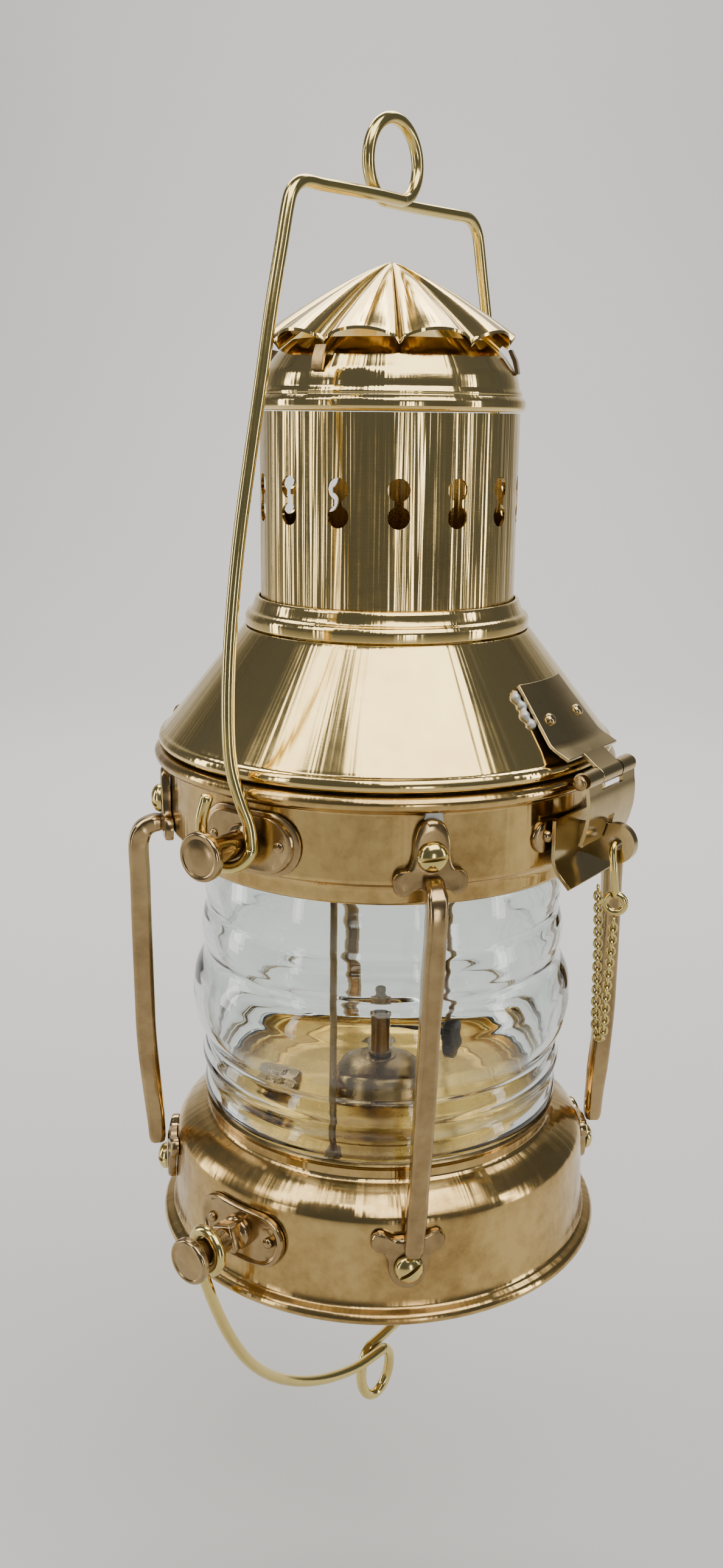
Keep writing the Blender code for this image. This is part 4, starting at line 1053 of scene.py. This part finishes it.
def sheet_outline(path, thick):
    """Outline of a folded sheet whose middle follows the path."""
    pts = [Vector(p) for p in path]
    left, right = [], []
    for k, point in enumerate(pts):
        before = pts[max(k - 1, 0)]
        after = pts[min(k + 1, len(pts) - 1)]
        way = (after - before).normalized()
        side = Vector((-way.y, way.x))
        stretch = 1.0
        if 0 < k < len(pts) - 1:
            one = (point - before).normalized()
            stretch = 1.0 / max(abs(one.dot(way)), 0.5)
        left.append(point + side * thick / 2 * stretch)
        right.append(point - side * thick / 2 * stretch)
    return [tuple(p) for p in left + right[::-1]]


def soft_path(path, radius=1.2):
    """Round the bends of a sheet's path."""
    return fillet([(*p, radius) for p in path], radius, 4, False)


def sheet_piece(name, path, spans, body, nodes, rivets=(), notches=(), mat="sheet", bend=None):
    """Folded sheet made from strips along X; spans are (x from, x to, path from, path to)."""
    bm = bmesh.new()
    for x0, x1, first, last in spans:
        add_prism(bm, sheet_outline(path[first:last], 0.9), x0, x1, SIDE_VIEW, 14 if bend else 1)
    if bend:
        bend(bm.verts)
    obj = finish_piece(name, bm, mat, nodes, body)
    for x0, x1, y0, y1, z0, z1 in notches:
        cut = bmesh.new()
        add_prism(cut, [(y0, z0), (y1, z0), (y1, z1), (y0, z1)], x0, x1, SIDE_VIEW)
        cut_with(obj, cutter_from(cut))
    if rivets:
        bm = bmesh.new()
        bm.from_mesh(obj.data)
        heads = bmesh.new()
        for lay, radius, height in rivets:
            add_rivet(heads, lay, radius, height)
        mesh = mesh_from("heads", heads)
        bm.from_mesh(mesh)
        bpy.data.meshes.remove(mesh)
        bm.to_mesh(obj.data)
        bm.free()
        shade(obj.data)
    soft = obj.modifiers.new("edges", "BEVEL")
    soft.width = 0.00014
    soft.segments = 2
    soft.limit_method = "ANGLE"
    soft.angle_limit = math.radians(50.0)
    soft.use_clamp_overlap = True
    return obj


def add_pin(name, node, half_length, y, z, body):
    shape = [(0, -half_length - 1.0), (1.3, -half_length - 0.9, 0.3), (1.7, -half_length - 0.4, 0.3),
             (1.7, -half_length, 0.1), (1.0, -half_length, 0.1), (1.0, half_length, 0.1),
             (1.7, half_length, 0.1), (1.7, half_length + 0.4, 0.3), (1.3, half_length + 0.9, 0.3),
             (0, half_length + 1.0)]
    lathe(name, shape, "dark", [node], body, "dark_brass", segments=40, closed=False,
          matrix=Matrix.Translation((0, y, z)) @ TO_X)


def slope_rivet(x, height, lift, back):
    """Frame of a rivet standing on the front or rear of the cone's slope."""
    slope = math.atan2(CONE_HIGH[1] - CONE_LOW[1], CONE_LOW[0] - CONE_HIGH[0])
    sign = 1.0 if back else -1.0
    place = Matrix.Translation((x, sign * (cone_radius(height) + lift), height))
    return place @ Matrix.Rotation(-sign * slope, 4, "X")


def make_hinge():
    y, z = 62.5, 131.9
    top = 149.0
    hood = soft_path([(cone_radius(top) + 0.95, top), (cone_radius(138.6) + 0.95, 138.6), (58.6, 136.2)])
    fixed = len(hood)
    hood = hood + arc((y, z), 1.75, 75.0, -205.0, 28)
    sheet_piece("hinge_upper_leaf", hood, [(-9.0, 9.0, 0, fixed), (-4.0, 4.0, fixed - 2, None)], "hood",
                ["hinge_leaf_hood"], [(slope_rivet(s * 5.4, 144.0, 1.4, True), 1.3, 0.8) for s in (-1, 1)])
    band = soft_path([(55.9, 113.0), (55.9, 125.4), (60.4, 128.6)])
    fixed = len(band)
    band = band + arc((y, z), 1.75, -85.0, 195.0, 28)
    facing = Matrix.Rotation(math.radians(-90), 4, "X")
    flat = [Matrix.Translation((s * 5.4, 56.3, 118.0)) @ facing for s in (-1, 1)]
    spans = [(-9.0, 9.0, 0, fixed), (-9.0, -4.4, fixed - 2, None), (4.4, 9.0, fixed - 2, None)]
    sheet_piece("hinge_lower_leaf", band, spans, "lantern", ["hinge_leaf_band"],
                [(lay, 1.3, 0.8) for lay in flat])
    add_pin("hinge_rod", "hinge_pin", 9.4, y, z, "lantern")


def hug_cone(verts):
    """Curve the upper part of the hasp leaf round the cone, and narrow its top."""
    for vert in verts:
        share = min(max((vert.co.z - 137.6) / 3.0, 0.0), 1.0)
        vert.co.y += share * vert.co.x ** 2 / (2 * 62.0)
        rise = min(max((vert.co.z - 138.5) / 13.0, 0.0), 1.0)
        vert.co.x *= 1.0 - 0.22 * rise


def make_hasp():
    y, z = -62.0, 132.3
    top = 152.0
    plate = soft_path([(-cone_radius(top) - 1.6, top), (-cone_radius(138.8) - 1.6, 138.8), (-58.6, 136.8)])
    fixed = len(plate)
    plate = plate + arc((y, z), 1.75, 105.0, 385.0, 28)
    spans = [(-12.5, 12.5, 0, fixed), (-5.0, 5.0, fixed - 2, None)]
    sheet_piece("hasp_leaf", plate, spans, "hood", ["hasp_plate"],
                [(slope_rivet(s * 6.8, 144.6, 1.8, False), 1.5, 1.0) for s in (-1, 1)], bend=hug_cone)
    shape = [(-62.2, 117.2, 0), (-63.1, 120.0, 0), (-63.8, 123.4, 0), (-63.9, 127.0, 0), (-63.6, 129.4, 0)]
    strap = [(p.x, p.y) for p in catmull(shape, 5)]
    fixed = len(strap)
    strap = strap + arc((y, z), 1.75, 216.0, 0.0, 26)
    spans = [(-12.0, 12.0, 0, fixed), (-12.0, -5.4, fixed - 2, None), (5.4, 12.0, fixed - 2, None)]
    sheet_piece("hasp_tongue", strap, spans, "hasp_strap", ["hasp_strap"],
                notches=[(-1.7, 1.7, -67.0, -58.0, 115.0, 122.6)])
    add_pin("hasp_rod", "hasp_pin", 12.9, y, z, "hood")
    lip = soft_path([(-55.95, 122.4), (-55.95, 112.6), (-57.4, 109.8), (-60.6, 106.6)], 2.0)
    obj = sheet_piece("staple_plate", lip, [(-13.0, 13.0, 0, None)], "lantern", ["hasp_lug"])
    bm = bmesh.new()
    y, z = LUG_Y, LUG_Z
    outline = arc((y, z), 4.8, -120.0, 120.0, 30)
    outline = [(2 * y - v, h) for v, h in outline] + [(-55.8, z + 3.6), (-55.8, z - 3.6)]
    add_prism(bm, outline, -1.0, 1.0, SIDE_VIEW)
    rim = [e for e in bm.edges if abs(e.verts[0].co.x - e.verts[1].co.x) < 1e-6]
    bmesh.ops.bevel(bm, geom=rim, offset=0.45, segments=3, affect="EDGES")
    ear = finish_piece("staple_ear", bm, "sheet")
    cut = bmesh.new()
    add_lathe(cut, [(0, -4), (1.7, -4), (1.7, 4), (0, 4)], 32, closed=False,
              matrix=Matrix.Translation((0, y, z)) @ TO_X)
    cut_with(ear, cutter_from(cut))
    make_hook()
    make_solder()


def make_hook():
    """Wire hook in the ear, and its keeper chain: links turned to and fro along a route."""
    y, z = LUG_Y, LUG_Z
    bend = [(4.6, y, z), (2.4, y, z), (0.6, y, z), (-1.0, y, z), (-2.0, y - 0.1, z - 0.4),
            (-2.7, y - 0.3, z - 1.8), (-3.0, y - 0.8, z - 5.0), (-2.6, y - 1.1, z - 9.0),
            (-2.0, y - 1.2, z - 12.0)]
    eye = [(-2.0 + 0.6 * math.sin(math.radians(a)), y - 1.2 - 2.2 * math.sin(math.radians(a)),
            z - 14.2 + 2.2 * math.cos(math.radians(a))) for a in range(20, 341, 20)]
    bm = bmesh.new()
    add_tube(bm, catmull(bend + eye, 4), 0.9, 16)
    finish_piece("hook_wire", bm, "wire", ["hasp_hook"], "hook", sharp=60.0)
    route = [(-2.0, y - 1.2, 98.6), (-1.7, y - 0.7, 88.0), (-1.4, y - 0.1, 78.0), (-1.4, y, 70.5),
             (-1.05, y + 0.5, 67.2), (-0.1, y + 1.75, 65.8), (0.85, y + 3.0, 67.2), (1.2, y + 3.5, 70.5),
             (1.1, y + 3.7, 80.0), (1.0, y + 4.0, 93.0), (0.8, y + 4.8, 107.0)]
    path = catmull(route, 40)
    lengths = [0.0]
    for a, b in zip(path, path[1:]):
        lengths.append(lengths[-1] + (b - a).length)
    pitch = 1.5
    bm = bmesh.new()
    count = int((lengths[-1] - 2.4) / pitch)
    k = 0
    for link in range(count):
        here = 1.4 + link * pitch
        while lengths[k + 1] < here and k + 2 < len(lengths):
            k += 1
        spot = path[k].lerp(path[k + 1], (here - lengths[k]) / (lengths[k + 1] - lengths[k]))
        way = (path[min(k + 4, len(path) - 1)] - path[max(k - 4, 0)]).normalized()
        side = way.cross(Vector((0.35, 1.0, 0.1))).normalized()
        across = Matrix.Rotation(math.radians(42.0 if link % 2 else -42.0), 3, way) @ side
        ring = []
        for s in range(20):
            a = 2 * math.pi * s / 20
            long_way = 1.17 * math.cos(a)
            ring.append(spot + way * long_way + across * 0.86 * math.sin(a))
        add_tube(bm, ring, 0.36, 8, loop=True)
    finish_piece("chain_links", bm, "wire", ["hook_chain"], slot="dark_brass", sharp=60.0)


def make_solder():
    """Grey solder run along the left edge of the hasp leaf, and the riveted oval beside the staple."""
    path = []
    for k in range(8):
        height = 143.0 + k * 1.1
        across = -12.2 + (height - 143.0) * 0.16 + 0.35 * math.sin(k * 1.9)
        path.append((across, -math.sqrt(cone_radius(height) ** 2 - across ** 2) - 0.4, height))
    bm = bmesh.new()
    add_tube(bm, catmull(path, 3), lambda share: 0.75 + 0.45 * math.sin(share * 13.0) ** 2, 12)
    finish_piece("solder_run", bm, "solder", body="hood", sharp=80.0)
    bm = bmesh.new()
    add_wall_plate(bm, stadium(5.2, 3.9, 118.4), -102.5, (0.0, 118.4), lambda _z: 55.05,
                   bevelled(0.9, 0.14, 0.4))
    add_rivet(bm, outward(-102.5, 55.95, 118.6, -0.8), 1.5, 1.2)
    finish_piece("rivet_oval", bm, "cast")


make_base()
make_burner()
make_lens()
make_rods()
make_band()
make_guard()
make_trunnions()
make_upper_bail()
make_lower_bail()
make_hood()
make_hinge()
make_hasp()

for name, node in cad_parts.items():
    node.data.materials.clear()
    node.data.materials.append(M["turned"])
